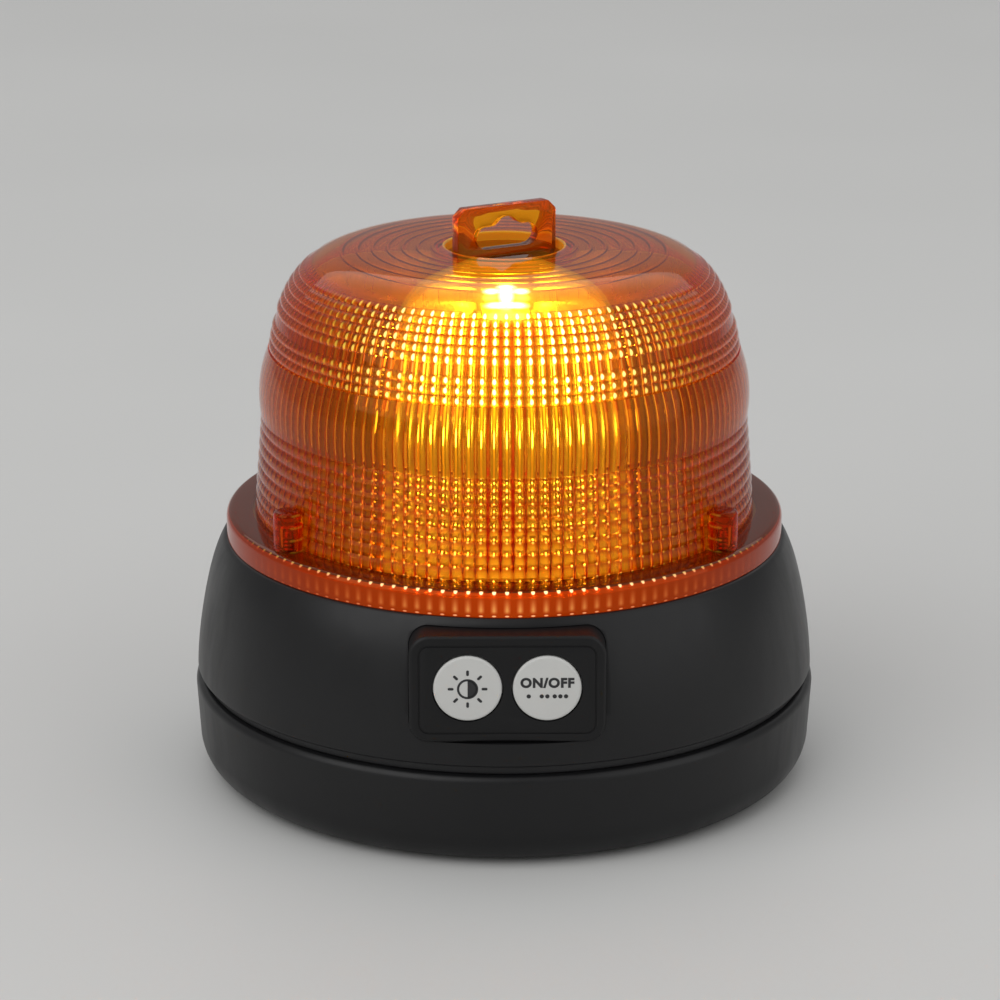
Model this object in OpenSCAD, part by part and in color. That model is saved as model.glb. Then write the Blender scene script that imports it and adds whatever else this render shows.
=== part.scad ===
// Battery warning beacon with an amber ribbed lens, a hang tab and a magnetic base.
// Millimetres. Z is up, the origin is the centre of the footprint on the table, and the
// push buttons face -Y. A bearing is an angle in plan from the front, turning towards +X.

/* [Lower housing] */
// Radius of the lower housing at its rim
base_r = 74.7; // [73:0.1:78]
// Height of the rim above the table
base_h = 22.7; // [22:0.1:25]
// Wall of the lower housing
base_wall = 2.4; // [1.8:0.1:3]
// Thickness of the floor
base_floor = 2.2; // [1.8:0.1:2.8]
// Gap that the foot ring leaves between the underside and the table
base_lift = 0.8; // [0.6:0.1:1]
// How much wider the rim is than the foot of the wall
base_draft = 0.7; // [0:0.1:1]
// Width of the rounded bottom corner
corner_w = 6.5; // [5.5:0.1:11]
// Wall of the posts around their screws
post_wall = 2; // [1.6:0.1:2.2]
// Height of the rounded bottom corner
corner_h = 8; // [7:0.5:13]
// Radius of the rim's outer edge
rim_round = 1.9; // [0.6:0.1:2.1]

/* [Seam] */
// Height of the seal between the two housings
seal_h = 2.2; // [1.6:0.1:2.8]
// Width of the seal
seal_w = 3.2; // [2.6:0.1:4]
// How far the seal lies behind the upper housing's face
seam_depth = 1.5; // [0.8:0.1:1.8]
// Height of the thick lip on each housing where the seal is squeezed
lip_h = 3; // [2:0.2:3.4]
// How far the lips reach in past the seal
lip_over = 0.4; // [0.2:0.1:0.8]

/* [Upper housing] */
// How far the upper housing lies behind the lower housing's rim
shell_step = 0.5; // [0:0.1:1]
// Height of the upper housing
shell_h = 32.5; // [31:0.1:34]
// How far the wall leans in over its height
shell_lean = 5.8; // [4.6:0.1:6]
// How far the shoulder rolls in at the top
shell_roll = 1.5; // [0.8:0.1:1.8]
// Wall of the upper housing
shell_wall = 2.5; // [1.8:0.1:3]
// Thickness of the deck under the lens
deck_t = 3; // [2.8:0.1:3.6]
// Radius of the cable hole in the deck
cable_hole_r = 5; // [3.4:0.2:6]
// Wall of the frames around the control panel and the charging port
frame_wall = 1.8; // [1.2:0.1:2.2]

/* [Lens] */
// How far the lens flange lies behind the edge of the deck
flange_reveal = 0.4; // [0.3:0.1:1.6]
// Width of the flange outside the tube
flange_w = 6.8; // [6.4:0.1:7.2]
// Height of the flange
flange_h = 6.1; // [5.2:0.1:7]
// Radius of the flange's top edge
flange_round = 1.7; // [0.8:0.1:2]
// Wall of the lens
lens_wall = 2.2; // [1.8:0.1:2.4]
// How much narrower the tube is at the waist
tube_draft = 1.9; // [1:0.1:2.3]
// Height of the ribbed tube above the deck
tube_h = 29.6; // [28:0.2:31]
// Height of the plain band above the waist
bulge_h = 15.8; // [14:0.2:16.4]
// Height of the plain band's widest line above the waist
bulge_peak = 4.5; // [3.5:0.1:5.5]
// Radius of the plain band's curve, seen from the side
bulge_curve = 28; // [26:1:34]
// How much narrower the dome's spring circle is than the waist
dome_in = 1.5; // [1.2:0.1:1.8]
// Height of the lens above the deck
lens_h = 69.3; // [68.5:0.1:72]
// How far the dome's spring circle lies under the top of the plain band
dome_drop = 7; // [6:0.1:8]
// Fullness of the dome's shoulder
dome_full = 8; // [7:0.5:9]
// Fullness of the dome's side
dome_side = 1.77; // [1.7:0.01:1.9]
// Depth of the outer rings
ring_depth = 0.5; // [0.2:0.05:0.6]
// Number of rings on the tube
tube_rings = 8; // [6:1:9]
// Number of rings on the dome's side
dome_rings = 10; // [8:1:10]
// Which of the dome's rings, counted from 0 at the lowest, is a plain sunk one
plain_ring = 3; // [0:1:9]
// Turn of the dome's curve that one ring takes
dome_ring_step = 4.48; // [4:0.02:4.6]
// Radius of the well that holds the hang tab
well_r = 13.9; // [13.8:0.1:16]
// Depth of the well
well_depth = 3.4; // [3:0.1:5.4]
// Pitch of the light-spreading ribs under the crown
rib_pitch = 3.5; // [3:0.1:3.8]
// Width of a rib under the crown
rib_w = 1.4; // [0.8:0.1:1.8]
// Depth of a rib under the crown
rib_depth = 0.2; // [0.1:0.05:0.5]
// Number of ribs under the crown
ribs = 7; // [3:1:7]
// Depth of the lens foot's groove in the deck
groove_depth = 2; // [1.6:0.1:2.2]
// Height of the gasket in that groove
gasket_h = 1; // [0.8:0.1:1.2]
// Width of the black rim that stands up around the lens foot
upstand_w = 3.6; // [2:0.1:3.8]

/* [Lens screws] */
// Bearing of the two front lens screws, left and right of the front
boss_bearing = 54.5; // [50:0.5:60]
// How far a screw post's axis lies outside the tube
boss_out = 1.5; // [1.2:0.1:1.8]
// Radius of a screw post on the lens
boss_r = 3.6; // [3:0.1:3.8]
// Height of a screw post above the deck
boss_h = 15.4; // [15:0.2:20]
// Radius of a lens screw's thread
lens_screw_r = 1.4; // [1.2:0.1:1.5]
// Length of a lens screw under its head
lens_screw_l = 14; // [12:0.5:15]
// Radius of a lens screw's head
lens_head_r = 2.8; // [2.4:0.1:3]

/* [Hang tab] */
// Turn of the tab from the line of the front
tab_turn = 28; // [0:1:40]
// Width of the tab
tab_w = 26; // [24:0.5:26.5]
// Thickness of the tab
tab_t = 3; // [2.4:0.1:4]
// Height of the tab above its foot
tab_h = 11.9; // [11:0.1:14]
// Thickness of the tab's round foot
tab_foot_t = 1.4; // [1:0.1:2]
// Cut at the tab's top corners
tab_corner = 1.9; // [1:0.1:3]
// Width of the hanging hole
hole_w = 16.2; // [14:0.1:18]
// Height of the hanging hole's slot
hole_h = 5.3; // [5:0.1:6]
// Radius of the notch in the middle of the hanging hole
notch_r = 2.8; // [2.6:0.1:3.5]
// How far the notch's centre lies above the slot's centre
notch_up = 1.9; // [1.5:0.1:2.2]
// Height of the bar under the hanging hole
hole_bar = 1.7; // [1.2:0.1:3]

/* [Control panel] */
// Width of the control panel
panel_w = 43.7; // [42.6:0.1:45]
// Height of the control panel
panel_h = 25; // [24.4:0.1:25.2]
// Corner radius of the control panel
panel_round = 4.5; // [3.5:0.1:5]
// How far the panel's face lies behind the upper housing's widest line
panel_sink = 1; // [0.8:0.1:1.4]
// Distance from the top of the deck down to the panel's middle
panel_down = 14.4; // [14.3:0.1:14.7]
// Depth of the panel from its face to its open back
panel_depth = 12.5; // [12.3:0.1:12.6]
// Thickness of the panel's face
panel_face_t = 2.4; // [1.8:0.1:2.6]
// Wall of the panel's sleeve
panel_wall = 1.8; // [1.4:0.1:2]
// Distance of the panel's screws from the sleeve's inside
panel_post_in = 1.9; // [1.7:0.1:2]
// How far the panel's hooks reach out behind the upper housing's frame
hook_out = 1.2; // [0.8:0.1:1.4]
// Thickness of the panel's hooks
hook_t = 0.7; // [0.5:0.1:1]
// Width of the panel's hooks
hook_w = 8; // [5:0.5:12]

/* [Buttons] */
// Radius of a button's cap
button_r = 7.6; // [7:0.1:7.6]
// Distance between the two buttons
button_pitch = 17.6; // [17.5:0.1:18.4]
// Height of the buttons above the panel's middle
button_up = 0.4; // [0:0.1:0.8]
// How far a cap stands out of the panel
button_proud = 0.4; // [0.3:0.1:0.8]
// Travel of a button
button_travel = 0.8; // [0.5:0.1:0.8]
// Gap between a cap and its hole
button_gap = 0.3; // [0.2:0.05:0.35]
// How much wider the retaining flange is than the cap
button_flange_w = 0.9; // [0.6:0.1:0.9]
// Thickness of the retaining flange
button_flange_t = 1; // [0.8:0.1:1.4]
// Radius of the stem behind a cap
stem_r = 2; // [1.6:0.1:2.4]
// Radius of a cap's outer edge
button_round = 0.6; // [0.3:0.1:0.8]

/* [Switches] */
// Side of a switch body
switch_w = 6.2; // [5.5:0.1:7]
// Depth of a switch body
switch_d = 4.2; // [3.6:0.1:4.4]
// Radius of a switch plunger
plunger_r = 1.7; // [1.4:0.1:1.9]
// Length of a switch plunger
plunger_l = 3; // [2.8:0.1:3.1]
// How far a plunger reaches into its switch
plunger_in = 1.8; // [1.6:0.1:2]
// Thickness of the circuit boards
board_t = 1.6; // [1.2:0.1:1.8]

/* [Base screws, magnets and foot] */
// Radius of the circle of the base screws
base_screw_circle_r = 52; // [51:0.5:52.5]
// Radius of a base screw's thread
base_screw_r = 1.9; // [1.6:0.1:2]
// Length of a base screw under its head
base_screw_l = 16; // [12:1:20]
// Radius of a base screw's head
base_head_r = 3.6; // [3.2:0.1:3.8]
// Height of a base screw's head
base_head_h = 2.4; // [1.8:0.1:3]
// Height of a base screw's head seat above the underside
well_h = 17.2; // [15:0.2:18]
// Radius of a magnet
magnet_r = 15; // [13:0.5:15.5]
// Height of a magnet
magnet_h = 6; // [5:0.2:6.4]
// Gap between the magnets and the table
magnet_lift = 0.4; // [0.3:0.1:0.6]
// Radius of the circle of the magnets
magnet_circle_r = 30; // [29:0.5:31]
// Radius of a magnet screw's thread
magnet_screw_r = 1.9; // [1.6:0.1:2]
// Radius of a magnet screw's head
magnet_head_r = 3.8; // [3.4:0.1:4.2]
// Length of a magnet screw
magnet_screw_l = 10; // [9:0.5:11]
// How far the foot ring's middle lies inside the flat underside's edge
foot_inset = 3.2; // [2.8:0.1:3.4]
// Width of the foot ring
foot_w = 4; // [3:0.1:4.4]
// Depth of the foot ring's groove
foot_groove = 1; // [0.6:0.1:1.2]

/* [Battery] */
// Radius of a cell
cell_r = 9.2; // [9:0.05:9.4]
// Length of a cell
cell_l = 65; // [64:0.5:66]
// Radius of a cell's nub
nub_r = 3; // [2:0.1:4]
// Height of a cell's nub
nub_h = 1; // [0.5:0.1:1.5]
// Gap between the two cells
cell_gap = 0.8; // [0.4:0.1:1.2]
// Height of the holder's underside above the table
holder_z = 14.5; // [14.2:0.1:15]
// Height of the holder's walls
holder_h = 16; // [12:0.5:17]
// Wall of the holder
holder_wall = 1.8; // [1.2:0.1:2]
// Length of an end contact
contact_l = 4; // [3:0.1:4.4]
// Thickness of a contact's plate
contact_t = 0.6; // [0.4:0.1:1]
// Width of a contact's plate
contact_w = 14; // [10:0.5:16]
// Distance of the holder's screws from its middle
holder_screw_x = 26; // [22:0.5:28]

/* [Control board] */
// Width of the control board
board_w = 64; // [62:1:66]
// Depth of the control board
board_d = 44; // [43:1:46]
// Distance from the deck's underside to the board's top
board_drop = 13.8; // [13.4:0.1:14.2]
// Distance of the board screws from the board's edges
board_inset = 4; // [3.6:0.1:4.4]
// Radius of a small screw's thread
small_screw_r = 1.1; // [0.9:0.05:1.2]
// Length of a small screw under its head
small_screw_l = 6; // [5:0.5:6.5]
// Radius of a small screw's head
small_head_r = 2; // [1.7:0.1:2.1]
// Height of a small screw's head
small_head_h = 1.5; // [1.1:0.1:1.7]
// Height of a wire connector
plug_block_h = 4; // [3:0.2:5]
// Side of the coil
coil_w = 12; // [8:0.5:12]
// Height of the coil
coil_h = 6; // [4:0.5:8]
// Radius of a capacitor
capacitor_r = 4; // [3:0.2:4]
// Height of a capacitor
capacitor_h = 9; // [6:0.5:12]
// Radius of a single wire
wire_r = 0.9; // [0.6:0.1:1.2]

/* [Light tower] */
// Distance across the tower's flats
tower_af = 24; // [22.5:0.5:24.5]
// Gap between the tower's top and the lens's well
tower_gap = 2.3; // [2.3:0.1:6]
// Radius of the bore for the wires
tower_bore_r = 4.5; // [3:0.1:5]
// Radius of the tower's foot
tower_foot_r = 19; // [18.6:0.2:21]
// Thickness of the tower's foot
tower_foot_t = 2.5; // [2:0.1:3]
// Radius of the circle of the tower's screws
tower_screw_circle_r = 16.2; // [15.8:0.1:16.4]
// Bearing of the first light strip
light_bearing = 0; // [0:1:30]
// Width of a light strip
strip_w = 11; // [9:0.5:12]
// Thickness of a light strip
strip_t = 1.2; // [0.8:0.1:1.4]
// Gap between a light strip's lower end and the tower's foot
strip_margin = 1.8; // [1.8:0.1:3]
// Gap between a light strip's upper end and the tower's top
strip_top_gap = 0.5; // [0.4:0.1:3]
// Number of light chips on a strip
chips = 4; // [3:1:6]
// Side of a light chip
chip_w = 5; // [3:0.5:6]
// Thickness of a light chip
chip_t = 1.4; // [1:0.1:2]
// Gap between the last chips and the strip's ends
chip_margin = 0.5; // [0.5:0.1:3]
// Gap between the light plate and the lens foot
plate_gap = 1.5; // [1.3:0.1:3]
// Thickness of the light plate
plate_t = 1.6; // [1.2:0.1:1.8]
// Thickness of a reflector vane
vane_t = 1.4; // [1:0.1:2]
// Gap between the vanes and the lens
vane_gap = 1; // [0.8:0.1:2]
// Thickness of the reflector's cap over the tower
cap_t = 1.5; // [1:0.1:1.8]
// How far the reflector's cap reaches past the tower's corners
cap_over = 1.6; // [1:0.1:2]

/* [Charging port] */
// Distance from the top of the deck down to the port's middle
port_down = 14.4; // [14:0.1:14.8]
// Depth of the port recess's floor behind the upper housing's widest line
port_sink = 4.5; // [4.2:0.1:4.8]
// Thickness of the block behind the recess
port_block_t = 5.7; // [5.2:0.1:6]
// Width of the port's plug
plug_w = 16; // [15:0.2:17]
// Height of the port's plug
plug_h = 9.5; // [9:0.1:10]
// Thickness of the port's plug
plug_t = 2.3; // [2:0.1:2.6]
// Corner radius of the plug
plug_round = 3; // [2:0.1:4]
// Width of the charging socket
socket_w = 9; // [8.9:0.1:9.1]
// Height of the charging socket
socket_h = 3.3; // [3.2:0.05:3.4]
// Length of the charging socket
socket_l = 7.2; // [7:0.1:8]
// Width of the socket's board
socket_board_w = 23; // [22:0.5:26]
// Length of the socket's board
socket_board_l = 14; // [13:0.5:16]
// Distance of the board's screws from its middle
socket_screw_x = 8; // [7.5:0.1:8.5]
// Distance of the board's screws from its front edge
socket_screw_in = 4.5; // [4:0.1:5]
// Thickness of the shelf under the board
shelf_t = 3.5; // [3:0.1:5]
// Wall of the charging socket
socket_wall = 0.35; // [0.3:0.05:0.5]
// Depth of the mouth in front of the socket
mouth_depth = 2.1; // [1.9:0.1:2.3]
// How much wider and higher the mouth is than the socket, on each side
mouth_rim = 1.1; // [0.9:0.1:1.3]
// Width of the plug's strap
strap_w = 6; // [5:0.2:8]
// Length of the strap below the hinge
strap_l = 4.6; // [4.4:0.1:5]
// Radius of the plug's rolled end, on which it turns
knuckle_r = 0.8; // [0.7:0.05:0.85]
// Radius of the strap's stud
stud_r = 1.5; // [1.2:0.1:1.6]

/* [Clearances] */
// Gap between a screw's thread and the hole that holds it
thread_gap = 0.05; // [0.02:0.01:0.1]
// Gap around a screw that passes through
pass_gap = 0.3; // [0.2:0.05:0.4]
// Gap of pieces that are pushed into a pocket
push_gap = 0.15; // [0.1:0.05:0.2]
// Gap of pieces that move past each other
loose_gap = 0.3; // [0.2:0.05:0.4]
// Gap of a plunger in its switch
plunger_gap = 0.08; // [0.05:0.01:0.1]
// Gap between a moving piece and the face that stops it
stop_gap = 0.1; // [0.05:0.01:0.15]

/* [Hidden] */
$fn = 64;

// Heights of the housings and the deck
floor_z = base_lift + base_floor;
shell_z = base_h + seal_h;
deck_z = shell_z + shell_h;
deck_under = deck_z - deck_t;
wall_z = shell_z + lip_h + 1.5;

// Radii of the housings and the seal
foot_flat_r = base_r - base_draft - corner_w;
shell_r = base_r - shell_step;
shell_top_r = shell_r - shell_lean - shell_roll;
seal_r = shell_r - seam_depth;
lip_r = seal_r - seal_w - lip_over;

// Radii and heights of the lens
flange_r = shell_top_r - flange_reveal;
tube_r = flange_r - flange_w;
waist_r = tube_r - tube_draft;
dome_r = waist_r - dome_in;
flange_z = deck_z + flange_h;
waist_z = deck_z + tube_h;
dome_z = waist_z + bulge_h;
crown_z = deck_z + lens_h;
spring_z = dome_z - dome_drop;
dome_h = crown_z - spring_z;
groove_z = deck_z - groove_depth;
groove_in_r = tube_r - lens_wall - loose_gap;
groove_out_r = tube_r + loose_gap;
upstand_z = flange_z - lens_wall - loose_gap;
well_z = crown_z - well_depth;

// Places of the lens screws, base screws and magnets
boss_circle_r = tube_r + boss_out;
boss_bearings = [-boss_bearing, boss_bearing, 180];
base_screw_bearings = [0, 120, 240];
magnet_bearings = [60, 180, 300];
well_top_z = base_lift + well_h;
base_post_r = base_head_r + pass_gap + post_wall;
shell_post_r = base_screw_r + post_wall;
magnet_top_z = magnet_lift + magnet_h;
magnet_boss_z = magnet_top_z + stop_gap + post_wall;
countersink_h = magnet_head_r - magnet_screw_r;
foot_r = foot_flat_r - foot_inset;
foot_top_z = base_lift + foot_groove;

// Panel, buttons and switches: depths are distances from the axis towards the front
panel_z = deck_z - panel_down;
panel_front = shell_r - panel_sink;
panel_back = panel_front - panel_depth;
panel_inner = panel_front - panel_face_t;
button_y = button_up;
button_xs = [-button_pitch / 2, button_pitch / 2];
switch_board_back = panel_back;
switch_board_front = switch_board_back + board_t;
switch_front = switch_board_front + switch_d;
plunger_end = switch_front - plunger_in;
plunger_tip = plunger_end + plunger_l;
flange_front = panel_inner - stop_gap;
flange_back = flange_front - button_flange_t;
panel_post_x = panel_w / 2 - panel_wall - panel_post_in;
panel_post_y = panel_h / 2 - panel_wall - panel_post_in;
panel_post_r = small_screw_r + 1;
frame_back = panel_back + hook_t + loose_gap;

// Charging port: the same, towards the back
port_z = deck_z - port_down;
port_floor = shell_r - port_sink;
port_back = port_floor - port_block_t;
recess_w = plug_w + 2 * loose_gap;
recess_top = plug_h / 2 + loose_gap;
mouth_w = socket_w + 2 * mouth_rim;
mouth_h = socket_h + 2 * mouth_rim;
mouth_floor = port_floor - mouth_depth;
insert_gap = 0.5;
plug_back = port_floor + stop_gap;
hinge_y = -plug_h / 2 - 2 * knuckle_r;
hinge_out = plug_back + stop_gap + knuckle_r;
strap_top = hinge_y - knuckle_r - loose_gap;
recess_bottom = strap_top - strap_l - loose_gap;
stud_y = strap_top - strap_l / 2;
socket_front = mouth_floor - push_gap;
socket_board_top = -socket_h / 2;
socket_board_front = port_back - loose_gap;
socket_board_back = socket_board_front - socket_board_l;
socket_screw_out = socket_board_front - socket_screw_in;
shelf_bottom = socket_board_top - board_t - shelf_t;

// Battery holder and control board
holder_in_l = cell_l + 2 * contact_l;
holder_l = holder_in_l + 2 * holder_wall;
holder_w = 4 * cell_r + cell_gap + 2 * push_gap + 2 * holder_wall;
holder_floor_z = holder_z + holder_wall;
cell_z = holder_floor_z + push_gap + cell_r;
cell_y = cell_r + cell_gap / 2;
holder_top_z = holder_z + holder_h;
lead_tab_z = holder_top_z + 2.5;
board_top = deck_under - board_drop;
board_z = board_top - board_t;
board_post_x = board_w / 2 - board_inset;
board_post_y = board_d / 2 - board_inset;
board_post_r = small_screw_r + post_wall;

// Wire connectors on the control board: x, y and the two sides of each
battery_plug = [board_post_x - 1, 0, 6, 10];
switch_plug = [-12, 1 - board_post_y, 6, 4];
charge_plug = [0, board_post_y - 1, 6, 4];
light_plug = [0, 10, 8, 4];

// Other parts on the control board: x, y, the two sides and the height of each chip
chip_list = [[9, -7, 9, 9, 1.2], [18, 1 - board_post_y, 6, 5, 1.6], [-24, -6, 5, 6, 1.4]];
coil_place = [-9, -4];
capacitor_places = [[19, 9], [-21, 8]];

// Wires
plug_top = board_top + plug_block_h;
harness_z = plug_top + 4.4;
harness_y = 2;
lead_x = cell_l / 2 + contact_l - contact_t / 2;
lead_z = plug_top + 2.4;

// Light tower
plate_r = groove_in_r - plate_gap;
plate_z = deck_z + plate_t;
foot_z = plate_z + tower_foot_t;
tower_top = well_z - lens_wall - tower_gap;
tower_corner_r = tower_af / 2 / cos(30);
strip_z0 = foot_z + strip_margin;
strip_z1 = tower_top - strip_top_gap;
chip_z0 = strip_z0 + chip_margin + chip_w / 2;
chip_z1 = strip_z1 - chip_margin - chip_w / 2;
cap_z = tower_top + stop_gap;
vane_in_r = tower_corner_r + loose_gap;

// Outer radius of the upper housing at a height
function shell_out(z) =
  let (t = (z - shell_z) / shell_h)
  shell_r - shell_lean * pow(t, 1.6) - shell_roll * pow(t, 8);

// Points of an arc with half-axes a and b around [cx, cz]
function arc(cx, cz, a, b, from, to, steps) =
  [for (i = [0:steps]) let (t = from + (to - from) * i / steps) [cx + a * cos(t), cz + b * sin(t)]];

// Height of one rounded ring over its own width, 0 at its edges and 1 in its middle
function bump(s) = let (u = 2 * (s - floor(s)) - 1) 1 - u * u;
function dome_bump(s) = floor(s) == plain_ring ? 0 : bump(s);

// Outer radius of the tube, and of the plain band above it, at a height
function tube_out(z) = tube_r - tube_draft * (z - flange_z) / (waist_z - flange_z);
function band_out(z) =
  let (peak = waist_r + bulge_curve - sqrt(pow(bulge_curve, 2) - pow(bulge_peak, 2)))
  peak - bulge_curve + sqrt(pow(bulge_curve, 2) - pow(z - waist_z - bulge_peak, 2));

// A point of the dome's curve, set in from its outside: turn 0 is its top, 90 its spring circle
function dome_point(turn, inset) =
  [(dome_r - inset) * pow(sin(turn), 2 / dome_full),
   spring_z + (dome_h - inset) * pow(cos(turn), 2 / dome_side)];
function dome_turn_at_z(z, inset) = acos(pow((z - spring_z) / (dome_h - inset), dome_side / 2));
function dome_turn_at_r(r, inset) = asin(pow(r / (dome_r - inset), dome_full / 2));

// Turns of the dome's curve where its rings start and end
ring_turn0 = dome_turn_at_z(dome_z, 0);
ring_turn1 = ring_turn0 - dome_rings * dome_ring_step;

// The lens outside, from the flange to the edge of the well
lens_outside = concat(
  [[flange_r, deck_z]],
  arc(flange_r - flange_round, flange_z - flange_round, flange_round, flange_round, 0, 90, 6),
  [for (i = [0:6 * tube_rings]) let (s = i / 6, z = flange_z + (waist_z - flange_z) * s / tube_rings)
    [tube_out(z) - ring_depth * (1 - bump(s)), z]],
  [for (i = [0:8]) let (z = waist_z + bulge_h * i / 8) [band_out(z), z]],
  [for (i = [0:6 * dome_rings]) let (s = i / 6, p = dome_point(ring_turn0 - s * dome_ring_step, 0))
    [p[0] - ring_depth * (1 - dome_bump(s)), p[1]]],
  [for (i = [1:8]) dome_point(ring_turn1 + (dome_turn_at_r(well_r, 0) - ring_turn1) * i / 8, 0)]);

// The inside of the dome, set in by a distance, from the plain band to a radius near the crown
function dome_inside(inset, r_end) =
  let (t0 = dome_turn_at_z(dome_z, inset), t1 = dome_turn_at_r(r_end, inset))
  [for (i = [0:12]) dome_point(t0 + (t1 - t0) * i / 12, inset)];

// The inside of the tube and the plain band, set in by a distance
function side_inside(inset, z0) = concat(
  [[tube_r - inset, z0], [tube_r - inset, flange_z], [waist_r - inset, waist_z]],
  [for (i = [1:7]) let (z = waist_z + bulge_h * i / 8) [band_out(z) - inset, z]]);

function reverse(list) = [for (i = [len(list) - 1:-1:0]) list[i]];

// The ribs under the crown, from the wall of the well outwards
well_out_r = well_r + lens_wall;
ribs_end_r = well_out_r + ribs * rib_pitch;
crown_ribs = [for (k = [0:ribs - 1], i = [0:2])
  let (r = well_out_r + k * rib_pitch + i * rib_w / 2)
    [r, dome_point(dome_turn_at_r(r, lens_wall), lens_wall)[1] - (i == 1 ? rib_depth : 0)]];

// Places children at a bearing and a distance from the axis
module at_bearing(bearing, r) rotate([0, 0, bearing]) translate([0, -r, 0]) children();

// Lays children's z axis out towards the front or the back, with their y axis pointing up
module facing_front(z) translate([0, 0, z]) rotate([90, 0, 0]) children();
module facing_back(z) rotate([0, 0, 180]) facing_front(z) children();

// A slab with rounded corners, standing on z0
module slab(w, h, r, z0, z1) {
  translate([-w / 2 + r, -h / 2, z0]) cube([w - 2 * r, h, z1 - z0]);
  translate([-w / 2, -h / 2 + r, z0]) cube([w, h - 2 * r, z1 - z0]);
  for (sx = [-1, 1], sy = [-1, 1])
    translate([sx * (w / 2 - r), sy * (h / 2 - r), z0]) cylinder(r = r, h = z1 - z0);
}

// A cylinder between two heights
module rod(r, z0, z1) translate([0, 0, z0]) cylinder(r = r, h = z1 - z0);

// A block on a flat, centred on [x, y]
module block(x, y, w, d, z0, z1) translate([x - w / 2, y - d / 2, z0]) cube([w, d, z1 - z0]);

// A pan-head screw that points down, with its head's seat at z = 0
module screw(r, l, head_r, head_h) {
  rod(r, -l, 0.01);
  rod(head_r, 0, head_h);
}
module small_screw() screw(small_screw_r, small_screw_l, small_head_r, small_head_h);

// A wire through a list of points
module wire(points, r) {
  for (i = [0:len(points) - 2]) {
    step = points[i + 1] - points[i];
    l = norm(step);
    translate(points[i]) rotate([0, acos(step[2] / l), atan2(step[1], step[0])]) cylinder(r = r, h = l);
  }
  for (i = [1:len(points) - 2]) translate(points[i]) sphere(r);
}

// ---- Lower housing and what is fastened to it ----

module lower_housing() color("#141416") difference() {
  union() {
    rotate_extrude() polygon(concat(
      [[0, base_lift]],
      arc(foot_flat_r, base_lift + corner_h, corner_w, corner_h, -90, 0, 10),
      arc(base_r - rim_round, base_h - rim_round, rim_round, rim_round, 0, 90, 5),
      [[lip_r, base_h], [lip_r, base_h - lip_h],
       [base_r - base_draft - base_wall, base_h - lip_h - 2.5]],
      arc(foot_flat_r, base_lift + corner_h, corner_w - base_wall, corner_h - base_floor, 0, -90, 8),
      [[0, floor_z]]));
    for (b = magnet_bearings) at_bearing(b, magnet_circle_r) {
      rod(magnet_r + push_gap + post_wall, base_lift + 0.1, magnet_boss_z);
      rod(magnet_screw_r + post_wall, base_lift + 0.1, magnet_lift + magnet_screw_l + post_wall);
    }
    for (b = base_screw_bearings) at_bearing(b, base_screw_circle_r)
      rod(base_post_r, base_lift + 0.1, base_h);
    for (sx = [-1, 1]) translate([sx * holder_screw_x, 0, 0])
      rod(small_screw_r + post_wall, base_lift + 0.1, holder_z);
  }
  difference() {
    rod(foot_r + foot_w / 2 + push_gap, 0, foot_top_z);
    rod(foot_r - foot_w / 2 - push_gap, -1, foot_top_z + 1);
  }
  for (b = magnet_bearings) at_bearing(b, magnet_circle_r) {
    rod(magnet_r + push_gap, 0, magnet_top_z + stop_gap);
    rod(magnet_screw_r + thread_gap, 0, magnet_lift + magnet_screw_l + 0.8);
  }
  for (b = base_screw_bearings) at_bearing(b, base_screw_circle_r) {
    rod(base_head_r + pass_gap, 0, well_top_z);
    rod(base_screw_r + pass_gap, 0, base_h + 1);
  }
  for (sx = [-1, 1]) translate([sx * holder_screw_x, 0, 0])
    rod(small_screw_r + thread_gap, holder_floor_z - small_screw_l - 0.3, holder_z + 1);
}

module foot_ring() color("#1b1b1b") rotate_extrude() translate([foot_r - foot_w / 2, 0])
  square([foot_w, foot_top_z]);

module magnets() color("#8f9296") for (b = magnet_bearings) at_bearing(b, magnet_circle_r)
  difference() {
    rod(magnet_r, magnet_lift, magnet_top_z);
    rod(magnet_screw_r + pass_gap, 0, magnet_top_z + 1);
    translate([0, 0, magnet_lift - 0.01])
      cylinder(r1 = magnet_head_r + pass_gap, r2 = magnet_screw_r + pass_gap, h = countersink_h);
  }

module magnet_screws() color("#b9bcc0") for (b = magnet_bearings) at_bearing(b, magnet_circle_r) {
  translate([0, 0, magnet_lift]) cylinder(r1 = magnet_head_r, r2 = magnet_screw_r, h = countersink_h);
  rod(magnet_screw_r, magnet_lift + countersink_h - 0.01, magnet_lift + magnet_screw_l);
}

module base_screws() color("#b9bcc0") for (b = base_screw_bearings)
  at_bearing(b, base_screw_circle_r) translate([0, 0, well_top_z]) mirror([0, 0, 1])
    screw(base_screw_r, base_screw_l, base_head_r, base_head_h);

module housing_seal() color("#0d0d0e") difference() {
  rod(seal_r, base_h, shell_z);
  rod(seal_r - seal_w, base_h - 1, shell_z + 1);
}

// ---- Upper housing ----

module shell_solid() rotate_extrude() polygon(concat(
  [[0, shell_z]],
  [for (i = [0:12]) let (z = shell_z + shell_h * i / 12) [shell_out(z), z]],
  [[0, deck_z]]));

module shell_cavity() rotate_extrude() polygon(concat(
  [[0, shell_z - 1], [lip_r, shell_z - 1], [lip_r, shell_z + lip_h]],
  [for (i = [0:10]) let (z = wall_z + (deck_under - wall_z) * i / 10) [shell_out(z) - shell_wall, z]],
  [[0, deck_under]]));

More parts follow.
